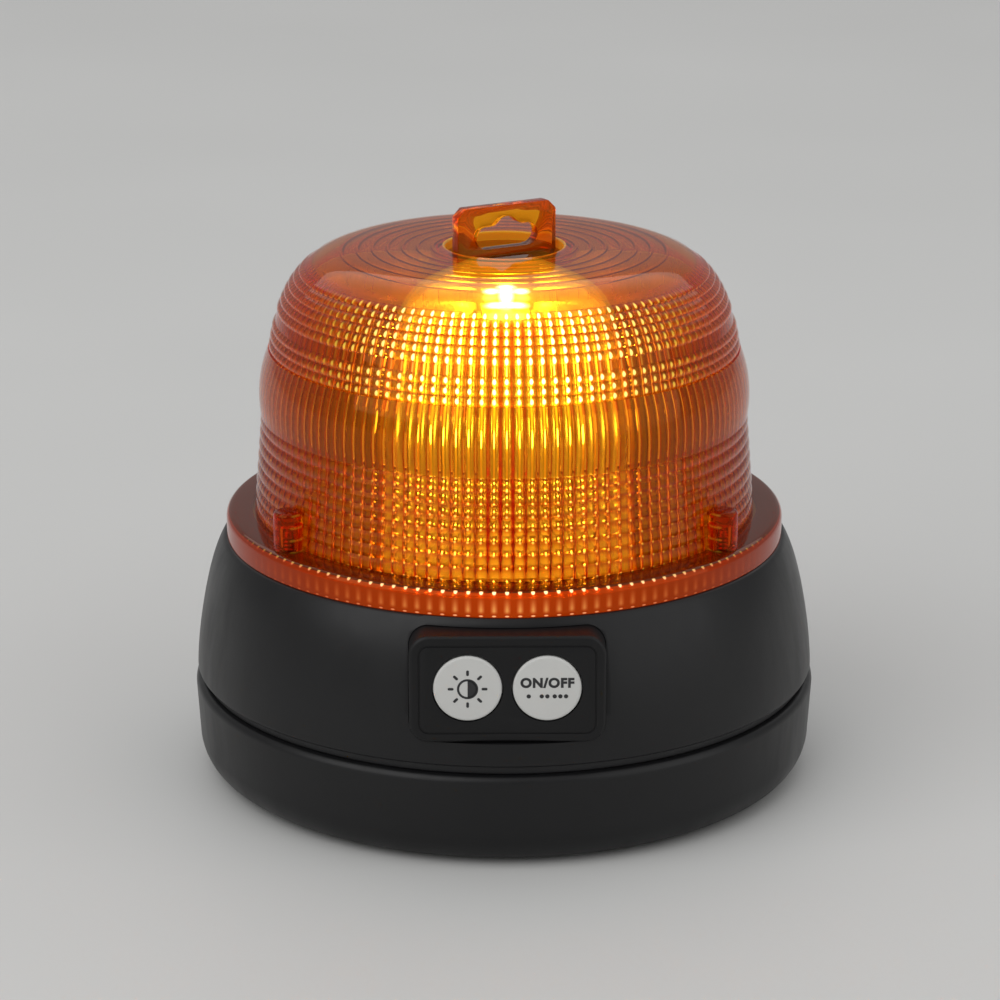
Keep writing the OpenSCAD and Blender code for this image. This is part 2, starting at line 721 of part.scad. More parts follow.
module upper_housing() color("#161618") difference() {
  union() {
    difference() {
      shell_solid();
      shell_cavity();
    }
    intersection() {
      shell_solid();
      union() {
        facing_front(panel_z) slab(panel_w + 2 * (push_gap + frame_wall),
          panel_h + 2 * (push_gap + frame_wall), panel_round + frame_wall, frame_back, shell_r);
        facing_back(port_z) translate([0, (recess_top + recess_bottom) / 2, 0])
          slab(recess_w + 2 * frame_wall, recess_top - recess_bottom + 2 * frame_wall, 3,
            port_back, shell_r);
      }
    }
    facing_back(port_z) block(0, shelf_bottom + shelf_t / 2, socket_board_w + 1, shelf_t,
      socket_screw_out - socket_screw_in, port_back + 0.5);
    difference() {
      rod(groove_out_r + upstand_w, deck_under + 0.5, upstand_z);
      rod(groove_out_r, deck_under, upstand_z + 1);
      for (b = boss_bearings) at_bearing(b, boss_circle_r)
        rod(boss_r + loose_gap, deck_z, upstand_z + 1);
    }
    for (b = base_screw_bearings) at_bearing(b, base_screw_circle_r)
      rod(shell_post_r, base_h + stop_gap, deck_under + 0.5);
    for (sx = [-1, 1], sy = [-1, 1]) translate([sx * board_post_x, sy * board_post_y, 0])
      rod(board_post_r, board_top, deck_under + 0.5);
  }
  facing_front(panel_z) slab(panel_w + 2 * push_gap, panel_h + 2 * push_gap,
    panel_round + push_gap, panel_back - 0.3, shell_r + 5);
  facing_back(port_z) {
    translate([0, (recess_top + recess_bottom) / 2, 0])
      slab(recess_w, recess_top - recess_bottom, plug_round, port_floor, shell_r + 5);
    slab(mouth_w, mouth_h, mouth_h / 2 - 0.1, mouth_floor, port_floor + 1);
    slab(socket_w + 2 * push_gap, socket_h + 2 * push_gap, socket_h / 2, port_back - 1, mouth_floor + 1);
    translate([0, stud_y, 0]) rod(stud_r + thread_gap, port_back - 1, port_floor + 1);
    for (sx = [-1, 1]) translate([sx * socket_screw_x, 0, socket_screw_out]) rotate([-90, 0, 0])
      rod(small_screw_r + thread_gap, shelf_bottom - 1, socket_board_top);
  }
  difference() {
    rod(groove_out_r, groove_z, deck_z + 1);
    rod(groove_in_r, groove_z - 1, deck_z + 2);
  }
  rod(cable_hole_r, deck_under - 1, deck_z + 1);
  for (b = boss_bearings) at_bearing(b, boss_circle_r)
    rod(lens_screw_r + pass_gap, deck_under - 1, deck_z + 1);
  for (b = base_screw_bearings) at_bearing(b, base_screw_circle_r)
    rod(base_screw_r + thread_gap, base_h, well_top_z + base_screw_l + 1);
  for (sx = [-1, 1], sy = [-1, 1]) translate([sx * board_post_x, sy * board_post_y, 0])
    rod(small_screw_r + thread_gap, board_top - 1, board_z + small_screw_l + 0.5);
  tower_screw_places() rod(small_screw_r + thread_gap, foot_z - small_screw_l - 0.3, deck_z + 1);
}

// ---- Control panel, buttons and switches ----

module panel_post_places() for (sx = [-1, 1], sy = [-1, 1])
  translate([sx * panel_post_x, sy * panel_post_y, 0]) children();

module control_panel() color("#1a1a1c") facing_front(panel_z) difference() {
  union() {
    difference() {
      slab(panel_w, panel_h, panel_round, panel_back, panel_front);
      slab(panel_w - 2 * panel_wall, panel_h - 2 * panel_wall, panel_round - panel_wall,
        panel_back - 1, panel_inner);
    }
    panel_post_places() rod(panel_post_r, switch_board_front, panel_inner + 0.5);
    for (sx = [-1, 1])
      block(sx * (panel_w / 2 + hook_out / 2 - 0.5), 0, hook_out + 1, hook_w,
        panel_back, panel_back + hook_t);
  }
  for (x = button_xs) translate([x, button_y, 0])
    rod(button_r + button_gap, panel_inner - 1, panel_front + 1);
  panel_post_places() rod(small_screw_r + thread_gap, switch_board_front - 1,
    switch_board_back + small_screw_l + 0.5);
}

module button(x) facing_front(panel_z) translate([x, button_y, 0]) {
  rod(stem_r, plunger_tip, flange_back + 0.5);
  rod(button_r + button_flange_w, flange_back, flange_front);
  rotate_extrude() polygon(concat(
    [[0, flange_back], [button_r, flange_back]],
    arc(button_r - button_round, panel_front + button_proud - button_round,
      button_round, button_round, 0, 90, 5),
    [[0, panel_front + button_proud]]));
}
module plunger(x) facing_front(panel_z) translate([x, button_y, 0])
  rod(plunger_r, plunger_end, plunger_tip);

module button_left() color("#ececea") button(button_xs[0]);
module button_right() color("#ececea") button(button_xs[1]);
module plunger_left() color("#c23a2a") plunger(button_xs[0]);
module plunger_right() color("#c23a2a") plunger(button_xs[1]);

module switches() color("#2a2a2c") facing_front(panel_z) for (x = button_xs)
  translate([x, button_y, 0]) difference() {
    block(0, 0, switch_w, switch_w, switch_board_front, switch_front);
    rod(plunger_r + plunger_gap, plunger_end - button_travel - stop_gap, switch_front + 1);
  }

module switch_board() color("#1f5a38") facing_front(panel_z) difference() {
  slab(panel_w - 2 * (panel_wall + loose_gap), panel_h - 2 * (panel_wall + loose_gap),
    panel_round - panel_wall - loose_gap, switch_board_back, switch_board_front);
  panel_post_places() rod(small_screw_r + pass_gap, switch_board_back - 1, switch_board_front + 1);
}

module switch_board_screws() color("#b9bcc0") facing_front(panel_z) panel_post_places()
  translate([0, 0, switch_board_back]) mirror([0, 0, 1]) small_screw();

// ---- Battery ----

module battery_holder() color("#202022") difference() {
  block(0, 0, holder_l, holder_w, holder_z, holder_top_z);
  block(0, 0, holder_in_l, holder_w - 2 * holder_wall, holder_floor_z, holder_top_z + 1);
  for (sx = [-1, 1]) translate([sx * holder_screw_x, 0, 0])
    rod(small_screw_r + pass_gap, holder_z - 1, holder_floor_z + 1);
}

module holder_screws() color("#b9bcc0") for (sx = [-1, 1])
  translate([sx * holder_screw_x, 0, holder_floor_z]) small_screw();

module along_x() rotate([0, 90, 0]) children();

module battery_cells() color("#2f6f8f") for (sy = [-1, 1])
  translate([0, sy * cell_y, cell_z]) mirror([sy > 0 ? 0 : 1, 0, 0]) along_x() {
    rod(cell_r, -cell_l / 2, cell_l / 2 - nub_h);
    rod(nub_r, 0, cell_l / 2);
  }

module battery_contacts() color("#c9c4a8") {
  for (sx = [-1, 1], sy = [-1, 1]) translate([sx * cell_l / 2, sy * cell_y, 0]) {
    translate([sx * (contact_l - contact_t / 2), 0, 0])
      block(0, 0, contact_t, contact_w, cell_z - contact_w / 2, cell_z + contact_w / 2);
    translate([0, 0, cell_z]) mirror([sx > 0 ? 0 : 1, 0, 0]) along_x()
      rod(nub_r, 0, contact_l - contact_t / 2);
  }
  for (sy = [-1, 1]) block(cell_l / 2 + contact_l - contact_t / 2, sy * cell_y, contact_t, 3,
    cell_z, lead_tab_z);
  block(-cell_l / 2 - contact_l + contact_t / 2, 0, contact_t, 2 * cell_y, cell_z - 2, cell_z + 2);
}

module battery_leads() color("#b8281e") for (sy = [-1, 1]) wire([
  [lead_x, sy * cell_y, lead_tab_z], [lead_x, sy * cell_y, lead_z],
  [battery_plug[0], sy * cell_y, lead_z], [battery_plug[0], sy * 3, lead_z],
  [battery_plug[0], sy * 3, plug_top]], wire_r);

// ---- Control board ----

module board_post_places() for (sx = [-1, 1], sy = [-1, 1])
  translate([sx * board_post_x, sy * board_post_y, 0]) children();

module control_board() color("#1f5a38") difference() {
  block(0, 0, board_w, board_d, board_z, board_top);
  board_post_places() rod(small_screw_r + pass_gap, board_z - 1, board_top + 1);
}

module control_board_screws() color("#b9bcc0") board_post_places()
  translate([0, 0, board_z]) mirror([0, 0, 1]) small_screw();

module board_chips() color("#18181a") for (c = chip_list)
  block(c[0], c[1], c[2], c[3], board_top, board_top + c[4]);

module board_coil() color("#3a3a3c")
  block(coil_place[0], coil_place[1], coil_w, coil_w, board_top, board_top + coil_h);

module board_capacitors() color("#3c4f8a") for (p = capacitor_places)
  translate([p[0], p[1], 0]) rod(capacitor_r, board_top, board_top + capacitor_h);

module board_plug(p) block(p[0], p[1], p[2], p[3], board_top, plug_top);

module wire_connectors() color("#e4e0d2") {
  board_plug(battery_plug);
  board_plug(switch_plug);
  board_plug(charge_plug);
  board_plug(light_plug);
  facing_front(panel_z) block(switch_plug[0], harness_y, 6, 4, switch_board_back - plug_block_h,
    switch_board_back);
  facing_back(port_z) block(-charge_plug[0], socket_board_top + plug_block_h / 2, 6, plug_block_h,
    socket_board_back + 0.5, socket_board_back + 4.5);
}

module switch_harness() color("#8a8d92") wire([
  [switch_plug[0], -(switch_board_back - plug_block_h), panel_z + harness_y],
  [switch_plug[0], -(switch_board_back - plug_block_h - 4), panel_z + harness_y],
  [switch_plug[0], -(switch_board_back - plug_block_h - 4), harness_z],
  [switch_plug[0], switch_plug[1], harness_z],
  [switch_plug[0], switch_plug[1], plug_top]], wire_r);

module charge_harness() color("#8a8d92") wire([
  [charge_plug[0], socket_board_back + 0.5, port_z + socket_board_top + plug_block_h / 2],
  [charge_plug[0], socket_board_back - 3, port_z + socket_board_top + plug_block_h / 2],
  [charge_plug[0], socket_board_back - 3, harness_z],
  [charge_plug[0], charge_plug[1], harness_z],
  [charge_plug[0], charge_plug[1], plug_top]], wire_r);

module light_harness() color("#8a8d92") wire([
  [0, light_plug[1], plug_top], [0, light_plug[1], harness_z + 1],
  [0, 0, harness_z + 1], [0, 0, foot_z + 8]], 2 * wire_r);

// ---- Charging port ----

module charge_socket() color("#b9bcc0") facing_back(port_z) {
  difference() {
    slab(socket_w, socket_h, socket_h / 2 - 0.1, socket_front - socket_l, socket_front);
    slab(socket_w - 2 * socket_wall, socket_h - 2 * socket_wall, socket_h / 2 - socket_wall - 0.1,
      socket_front - socket_l + 1, socket_front + 1);
  }
  block(0, 0, 6.7, 0.7, socket_front - socket_l, socket_front - 0.6);
}

module socket_board() color("#1f5a38") facing_back(port_z) difference() {
  block(0, socket_board_top - board_t / 2, socket_board_w, board_t,
    socket_board_back, socket_board_front);
  socket_screw_places() rod(small_screw_r + pass_gap, -board_t - 1, 1);
}

module socket_screw_places() for (sx = [-1, 1])
  translate([sx * socket_screw_x, socket_board_top, socket_screw_out]) rotate([-90, 0, 0]) children();

module socket_board_screws() color("#b9bcc0") facing_back(port_z) socket_screw_places() small_screw();

module port_plug() color("#101011") facing_back(port_z) {
  slab(plug_w, plug_h, plug_round, plug_back, plug_back + plug_t);
  slab(mouth_w - 2 * insert_gap, mouth_h - 2 * insert_gap, mouth_h / 2 - insert_gap - 0.1,
    mouth_floor + 0.2, plug_back + 0.5);
  block(0, (hinge_y - plug_h / 2) / 2, strap_w, -hinge_y - plug_h / 2 + 1, hinge_out - knuckle_r,
    hinge_out + knuckle_r);
  translate([-strap_w / 2, hinge_y, hinge_out]) along_x() rod(knuckle_r, 0, strap_w);
}

module port_strap() color("#101011") facing_back(port_z) {
  block(0, stud_y, strap_w, strap_l, port_floor, port_floor + 1.4);
  translate([0, stud_y, 0]) {
    rod(stud_r, port_back - 1.6, port_floor + 0.5);
    rod(stud_r + 0.8, port_back - 1.6, port_back);
  }
}

// ---- Light ----

module tower_screw_places() for (k = [0:2]) at_bearing(light_bearing + 120 * k, tower_screw_circle_r)
  children();

module light_plate() color("#f2f2ee") difference() {
  rod(plate_r, deck_z, plate_z);
  rod(cable_hole_r, deck_z - 1, plate_z + 1);
  tower_screw_places() rod(small_screw_r + pass_gap, deck_z - 1, plate_z + 1);
}

module light_tower() color("#d9dade") difference() {
  union() {
    rod(tower_foot_r, plate_z, foot_z);
    rotate([0, 0, light_bearing]) translate([0, 0, plate_z]) linear_extrude(tower_top - plate_z)
      polygon([for (k = [0:5]) tower_corner_r * [cos(60 * k), sin(60 * k)]]);
  }
  rod(tower_bore_r, plate_z - 1, tower_top + 1);
  tower_screw_places() rod(small_screw_r + pass_gap, plate_z - 1, foot_z + 1);
}

module tower_screws() color("#b9bcc0") tower_screw_places() translate([0, 0, foot_z]) small_screw();

module light_strips() color("#f4f4f0") for (k = [0:5])
  at_bearing(light_bearing + 60 * k, (tower_af + strip_t) / 2)
    block(0, 0, strip_w, strip_t, strip_z0, strip_z1);

module light_chips() color("#ffd45e") for (k = [0:5], i = [0:chips - 1])
  at_bearing(light_bearing + 60 * k, tower_af / 2 + strip_t + chip_t / 2)
    block(0, 0, chip_w, chip_t, chip_z0 + (chip_z1 - chip_z0) * i / (chips - 1) - chip_w / 2,
      chip_z0 + (chip_z1 - chip_z0) * i / (chips - 1) + chip_w / 2);

module reflector() color("#e9e9ee") {
  for (k = [0:5]) rotate([0, 0, light_bearing + 60 * k]) translate([0, vane_t / 2, 0])
    rotate([90, 0, 0]) linear_extrude(vane_t) polygon(concat(
      [[vane_in_r, foot_z + loose_gap], [tower_foot_r + loose_gap, foot_z + loose_gap],
       [tower_foot_r + loose_gap, plate_z]],
      side_inside(lens_wall + vane_gap, plate_z),
      dome_inside(lens_wall + vane_gap, well_out_r + vane_gap),
      [[well_out_r + vane_gap, cap_z + cap_t], [vane_in_r, cap_z + cap_t]]));
  rod(tower_corner_r + cap_over, cap_z, cap_z + cap_t);
}

// ---- Lens and what fastens it ----

module lens_gasket() color("#0d0d0e") difference() {
  rod(groove_out_r - push_gap, groove_z, groove_z + gasket_h);
  rod(groove_in_r + push_gap, groove_z - 1, deck_z);
}

module lens_screws() color("#b9bcc0") for (b = boss_bearings) at_bearing(b, boss_circle_r)
  translate([0, 0, deck_under]) mirror([0, 0, 1])
    screw(lens_screw_r, lens_screw_l, lens_head_r, small_head_h);

module lens() color("#f24a10", 0.75) difference() {
  union() {
    rotate_extrude() polygon(concat(
      lens_outside,
      [[well_r, well_z], [0, well_z], [0, well_z - lens_wall], [well_out_r, well_z - lens_wall]],
      crown_ribs,
      reverse(dome_inside(lens_wall, ribs_end_r)),
      reverse(side_inside(lens_wall, groove_z + gasket_h)),
      [[tube_r, groove_z + gasket_h], [tube_r, flange_z - lens_wall],
       [flange_r - lens_wall, flange_z - lens_wall], [flange_r - lens_wall, deck_z]]));
    for (b = boss_bearings) at_bearing(b, boss_circle_r) {
      rod(boss_r, deck_z, deck_z + boss_h - 1.2);
      translate([0, 0, deck_z + boss_h - 1.2]) cylinder(r1 = boss_r, r2 = boss_r - 1.2, h = 1.2);
    }
  }
  for (b = boss_bearings) at_bearing(b, boss_circle_r)
    rod(lens_screw_r + thread_gap, deck_z - 1, deck_under + lens_screw_l + 0.5);
}

module hang_tab() color("#ffb43a", 0.8) rotate([0, 0, tab_turn]) difference() {
  union() {
    rod(well_r - loose_gap, well_z, well_z + tab_foot_t);
    translate([0, tab_t / 2, well_z + tab_foot_t - 0.1]) rotate([90, 0, 0]) linear_extrude(tab_t)
      polygon([[-tab_w / 2, 0], [tab_w / 2, 0], [tab_w / 2, tab_h - tab_corner],
        [tab_w / 2 - tab_corner, tab_h], [-tab_w / 2 + tab_corner, tab_h],
        [-tab_w / 2, tab_h - tab_corner]]);
  }
  translate([0, 0, well_z + tab_foot_t + hole_bar + hole_h / 2]) rotate([90, 0, 0]) {
    for (sx = [-1, 1]) translate([sx * (hole_w - hole_h) / 2, 0, 0]) rod(hole_h / 2, -tab_t, tab_t);
    block(0, 0, hole_w - hole_h, hole_h, -tab_t, tab_t);
    translate([0, notch_up, 0]) rod(notch_r, -tab_t, tab_t);
  }
}

lower_housing();
foot_ring();
magnets();
magnet_screws();
base_screws();
housing_seal();
upper_housing();
control_panel();
button_left();
button_right();
plunger_left();
plunger_right();
switches();
switch_board();
switch_board_screws();
battery_holder();
holder_screws();
battery_cells();
battery_contacts();
control_board();
control_board_screws();
board_chips();
board_coil();
board_capacitors();
wire_connectors();
battery_leads();
switch_harness();
charge_harness();
light_harness();
charge_socket();
socket_board();
socket_board_screws();
port_plug();
port_strap();
light_plate();
light_tower();
tower_screws();
light_strips();
light_chips();
reflector();
lens_gasket();
lens_screws();
lens();
hang_tab();
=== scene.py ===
from contextlib import contextmanager
from functools import partialmethod
from math import acos, asin, cos, degrees, floor, hypot, pi, radians, sin, sqrt

import bmesh
import bpy
from mathutils import Matrix, Vector


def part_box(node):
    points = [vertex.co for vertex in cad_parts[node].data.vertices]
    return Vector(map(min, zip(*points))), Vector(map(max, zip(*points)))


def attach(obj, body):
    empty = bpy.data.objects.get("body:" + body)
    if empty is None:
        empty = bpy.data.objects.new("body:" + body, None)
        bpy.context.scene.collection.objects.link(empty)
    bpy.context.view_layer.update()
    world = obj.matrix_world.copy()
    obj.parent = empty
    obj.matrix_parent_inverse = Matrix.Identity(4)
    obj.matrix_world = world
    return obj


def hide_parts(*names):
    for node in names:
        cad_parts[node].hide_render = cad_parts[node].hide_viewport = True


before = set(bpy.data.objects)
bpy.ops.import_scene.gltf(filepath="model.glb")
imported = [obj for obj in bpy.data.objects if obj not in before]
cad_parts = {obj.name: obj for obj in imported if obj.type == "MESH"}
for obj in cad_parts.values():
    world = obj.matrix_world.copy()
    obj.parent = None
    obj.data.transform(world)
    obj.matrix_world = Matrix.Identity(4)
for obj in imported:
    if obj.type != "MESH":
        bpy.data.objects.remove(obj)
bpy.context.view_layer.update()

# A battery warning beacon. Lengths are in millimetres, and MM turns them into metres where they reach
# Blender. A bearing is an angle in plan from the front, which is -Y, turning towards +X.
MM = 0.001


# ------ places taken from the frame

def low(node, axis="z"):
    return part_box(node)[0]["xyz".index(axis)] / MM


def high(node, axis="z"):
    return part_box(node)[1]["xyz".index(axis)] / MM


def turned(angle, axis="Z"):
    return Matrix.Rotation(radians(angle), 4, axis)


def shift(x=0.0, y=0.0, z=0.0):
    return Matrix.Translation((x * MM, y * MM, z * MM))


def at_bearing(bearing, r):
    """Local -Y points out at a bearing, and Z stays up."""
    return turned(bearing) @ shift(0, -r)


BASE_R, BASE_TOP, BASE_BOTTOM = high("lower_housing", "x"), high("lower_housing"), low("lower_housing")
SHELL_R, DECK_Z = high("upper_housing", "x"), low("light_plate")
FLANGE_R, CROWN_Z, LENS_FOOT_Z, WELL_Z = high("lens", "x"), high("lens"), low("lens"), low("hang_tab")
PANEL_FRONT, PANEL_Z = -low("control_panel", "y"), (low("control_panel") + high("control_panel")) / 2
PORT_FLOOR, STUD_DOWN = high("port_strap", "y") - 1.4, 9.75
BOARD_TOP = high("control_board")

# Local z points out of the front or the back, and local y up
FACING_FRONT = turned(90, "X")
FRONT_AT_PANEL = shift(z=PANEL_Z) @ FACING_FRONT
BACK_AT_PORT = shift(z=PANEL_Z) @ turned(180) @ FACING_FRONT


# ------ materials

class Value:
    """A number that a material works out at each point. Arithmetic on it adds the nodes that do it."""

    def __init__(self, nodes, socket):
        self.nodes, self.socket = nodes, socket

    def then(self, operation, other=0.0):
        return self.nodes.math(operation, self, other)

    def __rsub__(self, other):
        return self.nodes.math("SUBTRACT", other, self)

    __add__, __sub__ = partialmethod(then, "ADD"), partialmethod(then, "SUBTRACT")
    __mul__, __truediv__ = partialmethod(then, "MULTIPLY"), partialmethod(then, "DIVIDE")
    __pow__, __abs__ = partialmethod(then, "POWER"), partialmethod(then, "ABSOLUTE")
    __gt__, __lt__ = partialmethod(then, "GREATER_THAN"), partialmethod(then, "LESS_THAN")


LOOKS = {}


class Nodes:
    """The node tree of a new material, which goes into LOOKS, with short names for the nodes used here."""

    def __init__(self, name):
        LOOKS[name] = bpy.data.materials.new(name)
        LOOKS[name].use_nodes = True
        self.tree = LOOKS[name].node_tree
        self.tree.nodes.clear()
        self.out = self.add("ShaderNodeOutputMaterial")

    def add(self, kind, **props):
        node = self.tree.nodes.new(kind)
        for key, value in props.items():
            setattr(node, key, value)
        return node

    def fill(self, socket, value):
        """Sets a socket to a number or a colour, or links it to what works its value out."""
        if isinstance(value, tuple):
            socket.default_value = (*value, 1) if socket.type == "RGBA" else value
        elif isinstance(value, (int, float)):
            socket.default_value = value
        else:
            self.tree.links.new(getattr(value, "socket", value), socket)

    def node(self, kind, values, output=0, **props):
        """A new node with its sockets filled, by name or number, and one of its outputs."""
        node = self.add(kind, **props)
        for key, value in values.items():
            self.fill(node.inputs[key], value)
        return node.outputs[output]

    def coords(self):
        return self.add("ShaderNodeTexCoord").outputs["Object"]

    def stretched(self, scale):
        return self.node("ShaderNodeMapping", {"Vector": self.coords(), "Scale": scale})

    def noise(self, scale, detail=3.0, rough=0.55, vector=None):
        return self.node("ShaderNodeTexNoise", {"Vector": vector or self.coords(), "Scale": scale,
                                                "Detail": detail, "Roughness": rough}, "Fac")

    def cells(self, scale, feature="F1"):
        return Value(self, self.node("ShaderNodeTexVoronoi", {"Vector": self.coords(), "Scale": scale},
                                     "Distance", feature=feature))

    def ramp(self, fac, stops, interpolation="LINEAR"):
        node = self.add("ShaderNodeValToRGB")
        node.color_ramp.interpolation = interpolation
        while len(node.color_ramp.elements) < len(stops):
            node.color_ramp.elements.new(0.5)
        for element, (at, colour) in zip(node.color_ramp.elements, stops):
            element.position, element.color = at, (*colour, 1)
        self.fill(node.inputs["Fac"], fac)
        return node.outputs["Color"]

    def range(self, fac, lo, hi, lo_in=0.0, hi_in=1.0):
        """Lo and hi where fac is lo_in and hi_in, and even steps between."""
        return Value(self, self.node("ShaderNodeMapRange", {
            "Value": fac, "From Min": lo_in, "From Max": hi_in, "To Min": lo, "To Max": hi}, "Result"))

    def fade(self, fac, full, none):
        """From 1 where fac is full down to 0 where it is none."""
        return self.range(fac, 1, 0, full, none)

    def math(self, operation, a, b=0.0, clamp=False):
        return Value(self, self.node("ShaderNodeMath", {0: a, 1: b}, operation=operation, use_clamp=clamp))

    def mix(self, fac, a, b, blend="MIX"):
        return self.node("ShaderNodeMix", {0: fac, 6: a, 7: b}, 2, data_type="RGBA", blend_type=blend)

    def bump(self, height, strength, depth):
        return self.node("ShaderNodeBump", {"Height": height, "Strength": strength, "Distance": depth * MM})

    def shader(self, **values):
        """A Principled BSDF on the output. Keys are socket names with _ for a space."""
        self.fill(self.out.inputs["Surface"], self.node(
            "ShaderNodeBsdfPrincipled", {key.replace("_", " "): value for key, value in values.items()}))

    def split(self):
        """The coordinates of a shaded point one by one."""
        node = self.add("ShaderNodeSeparateXYZ")
        self.fill(node.inputs[0], self.coords())
        return [Value(self, output) for output in node.outputs]


def moulded(name, colour, rough, grain, depth, vary, strength, **more):
    """Moulded plastic: a fine spark-eroded grain, slow shade changes, and faint handling smears."""
    n = Nodes(name)
    shades = [tuple(min(1.0, c * share) for c in colour) for share in (1 - vary, 1 + vary)]
    base = n.mix(n.range(n.noise(38, 4), 0, 1, 0.3, 0.7), *shades)
    smear = n.noise(90, 5, 0.65, n.stretched((1, 1, 0.35)))
    n.shader(Base_Color=base, Roughness=n.range(smear, rough - 0.06, rough + 0.08, 0.3, 0.7),
             Normal=n.bump(n.noise(grain, 2, 0.6), strength, depth), **more)


def metal(name, colour, rough, stretch, scale):
    """Bare or plated metal: fine drawing lines, uneven roughness and small tarnish spots."""
    n = Nodes(name)
    lines = n.noise(scale, 4, 0.7, n.stretched(stretch))
    dull = tuple(c * 0.78 for c in colour)
    base = n.mix(n.range(n.noise(160, 6, 0.7), 0, 1, 0.42, 0.75), colour, dull)
    n.shader(Base_Color=base, Metallic=1.0, Roughness=n.range(lines, rough - 0.08, rough + 0.12, 0.3, 0.7),
             Normal=n.bump(lines, 0.15, 0.02))


# ------ mesh helpers

def add_object(name, data):
    obj = bpy.data.objects.new(name, data)
    bpy.context.scene.collection.objects.link(obj)
    return obj


def piece(name, mesh, look, replaces=None, body="housing", sharp=40):
    """A finished piece: smooth faces with sharp edges over an angle, its look, its body, and the CAD node
    that it hides, if any."""
    mesh.name = name
    mesh.materials.clear()
    mesh.materials.append(LOOKS[look])
    mesh.shade_smooth()
    mesh.set_sharp_from_angle(angle=radians(sharp))
    obj = add_object(name, mesh)
    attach(obj, body)
    if replaces:
        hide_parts(replaces)


@contextmanager
def editing(mesh):
    """A bmesh of a mesh, which goes back into it at the end."""
    bm = bmesh.new()
    bm.from_mesh(mesh)
    yield bm
    bm.to_mesh(mesh)
    bm.free()


def from_arrays(verts, faces):
    mesh = bpy.data.meshes.new("part")
    mesh.from_pydata([tuple(c * MM for c in v) for v in verts], [], [tuple(f) for f in faces])
    mesh.validate()
    return mesh


def solid(verts, faces, matrix=None):
    """A closed mesh, put in its place, with its faces turned outwards."""
    mesh = from_arrays(verts, faces)
    if matrix is not None:
        mesh.transform(matrix)
    with editing(mesh) as bm:
        bmesh.ops.recalc_face_normals(bm, faces=bm.faces)
    return mesh


def arc(cx, cz, a, b, start, end, steps):
    """Points of an elliptical arc around (cx, cz), angles in degrees."""
    angles = [radians(start + (end - start) * i / steps) for i in range(steps + 1)]
    return [(cx + a * cos(t), cz + b * sin(t)) for t in angles]


def around(columns):
    return [2 * pi * j / columns for j in range(columns)]


def circle(cx, cy, r, steps=48):
    return [(cx + r * cos(t), cy + r * sin(t)) for t in around(steps)]


def slab(w, h, r, steps=10):
    """Corner points of a rounded rectangle, counter-clockwise."""
    points = []
    for sx, sy, start in ((1, 1, 0), (-1, 1, 90), (-1, -1, 180), (1, -1, 270)):
        points += arc(sx * (w / 2 - r), sy * (h / 2 - r), r, r, start, start + 90, steps)
    return points


def revolve(profile, columns, matrix=None):
    """A closed outline of (radius, height), counter-clockwise, turned round the axis. Points on the axis
    become one vertex each."""
    verts, rows = [], []
    for r, z in profile:
        if r < 0.0001:
            rows.append([len(verts)] * columns)
            verts.append((0, 0, z))
        else:
            rows.append(list(range(len(verts), len(verts) + columns)))
            verts += [(r * sin(t), -r * cos(t), z) for t in around(columns)]
    faces = []
    for a, b in zip(rows, rows[1:] + rows[:1]):
        for j in range(columns):
            k = (j + 1) % columns
            loop = list(dict.fromkeys((a[j], a[k], b[k], b[j])))
            if len(loop) > 2:
                faces.append(loop)
    return solid(verts, faces, matrix)


def prism(outline, z0, z1, matrix=None):
    """An outline in x and y pushed out from z0 to z1."""
    n = len(outline)
    verts = [(x, y, z) for z in (z0, z1) for x, y in outline]
    faces = [range(n)[::-1], range(n, 2 * n)]
    faces += [(i, (i + 1) % n, n + (i + 1) % n, n + i) for i in range(n)]
    return solid(verts, faces, matrix)


def peg(r, z0, z1, matrix=None, steps=48, y=0):
    return prism(circle(0, y, r, steps), z0, z1, matrix)


def with_modifiers(mesh, *modifiers):
    """The mesh after modifiers, each given as its kind and its settings."""
    holder = add_object("holder", mesh)
    for kind, settings in modifiers:
        modifier = holder.modifiers.new(kind, kind)
        for key, value in settings.items():
            setattr(modifier, key, value)
    result = evaluated(holder)
    bpy.data.objects.remove(holder)
    return result


def evaluated(obj):
    graph = bpy.context.evaluated_depsgraph_get()
    return bpy.data.meshes.new_from_object(obj.evaluated_get(graph))


def cut(mesh, cutters, operation="DIFFERENCE"):
    """Takes the cutter meshes away from a mesh, or joins them to it, with exact booleans."""
    tools = [add_object("tool", cutter) for cutter in cutters]
    result = with_modifiers(mesh, *(("BOOLEAN", {"operation": operation, "solver": "EXACT", "object": tool})
                                    for tool in tools))
    for tool in tools:
        bpy.data.objects.remove(tool)
    return welded(result)


def welded(mesh):
    """The mesh with its double points made one, and no loose edges or points."""
    with editing(mesh) as bm:
        bmesh.ops.remove_doubles(bm, verts=bm.verts, dist=0.001 * MM)
        bmesh.ops.delete(bm, geom=[e for e in bm.edges if not e.link_faces], context="EDGES")
        bmesh.ops.delete(bm, geom=[v for v in bm.verts if not v.link_faces], context="VERTS")
    return mesh


def bevelled(mesh, width, angle=40):
    """The mesh with its sharp edges rounded."""
    return with_modifiers(mesh, ("BEVEL", {"width": width * MM, "segments": 2, "limit_method": "ANGLE",
                                           "angle_limit": radians(angle), "use_clamp_overlap": True}))


def joined(meshes, matrix=None):
    bm = bmesh.new()
    for mesh in meshes:
        bm.from_mesh(mesh)
    result = bpy.data.meshes.new("joined")
    bm.to_mesh(result)
    bm.free()
    if matrix is not None:
        result.transform(matrix)
    return result


# ------ the lens

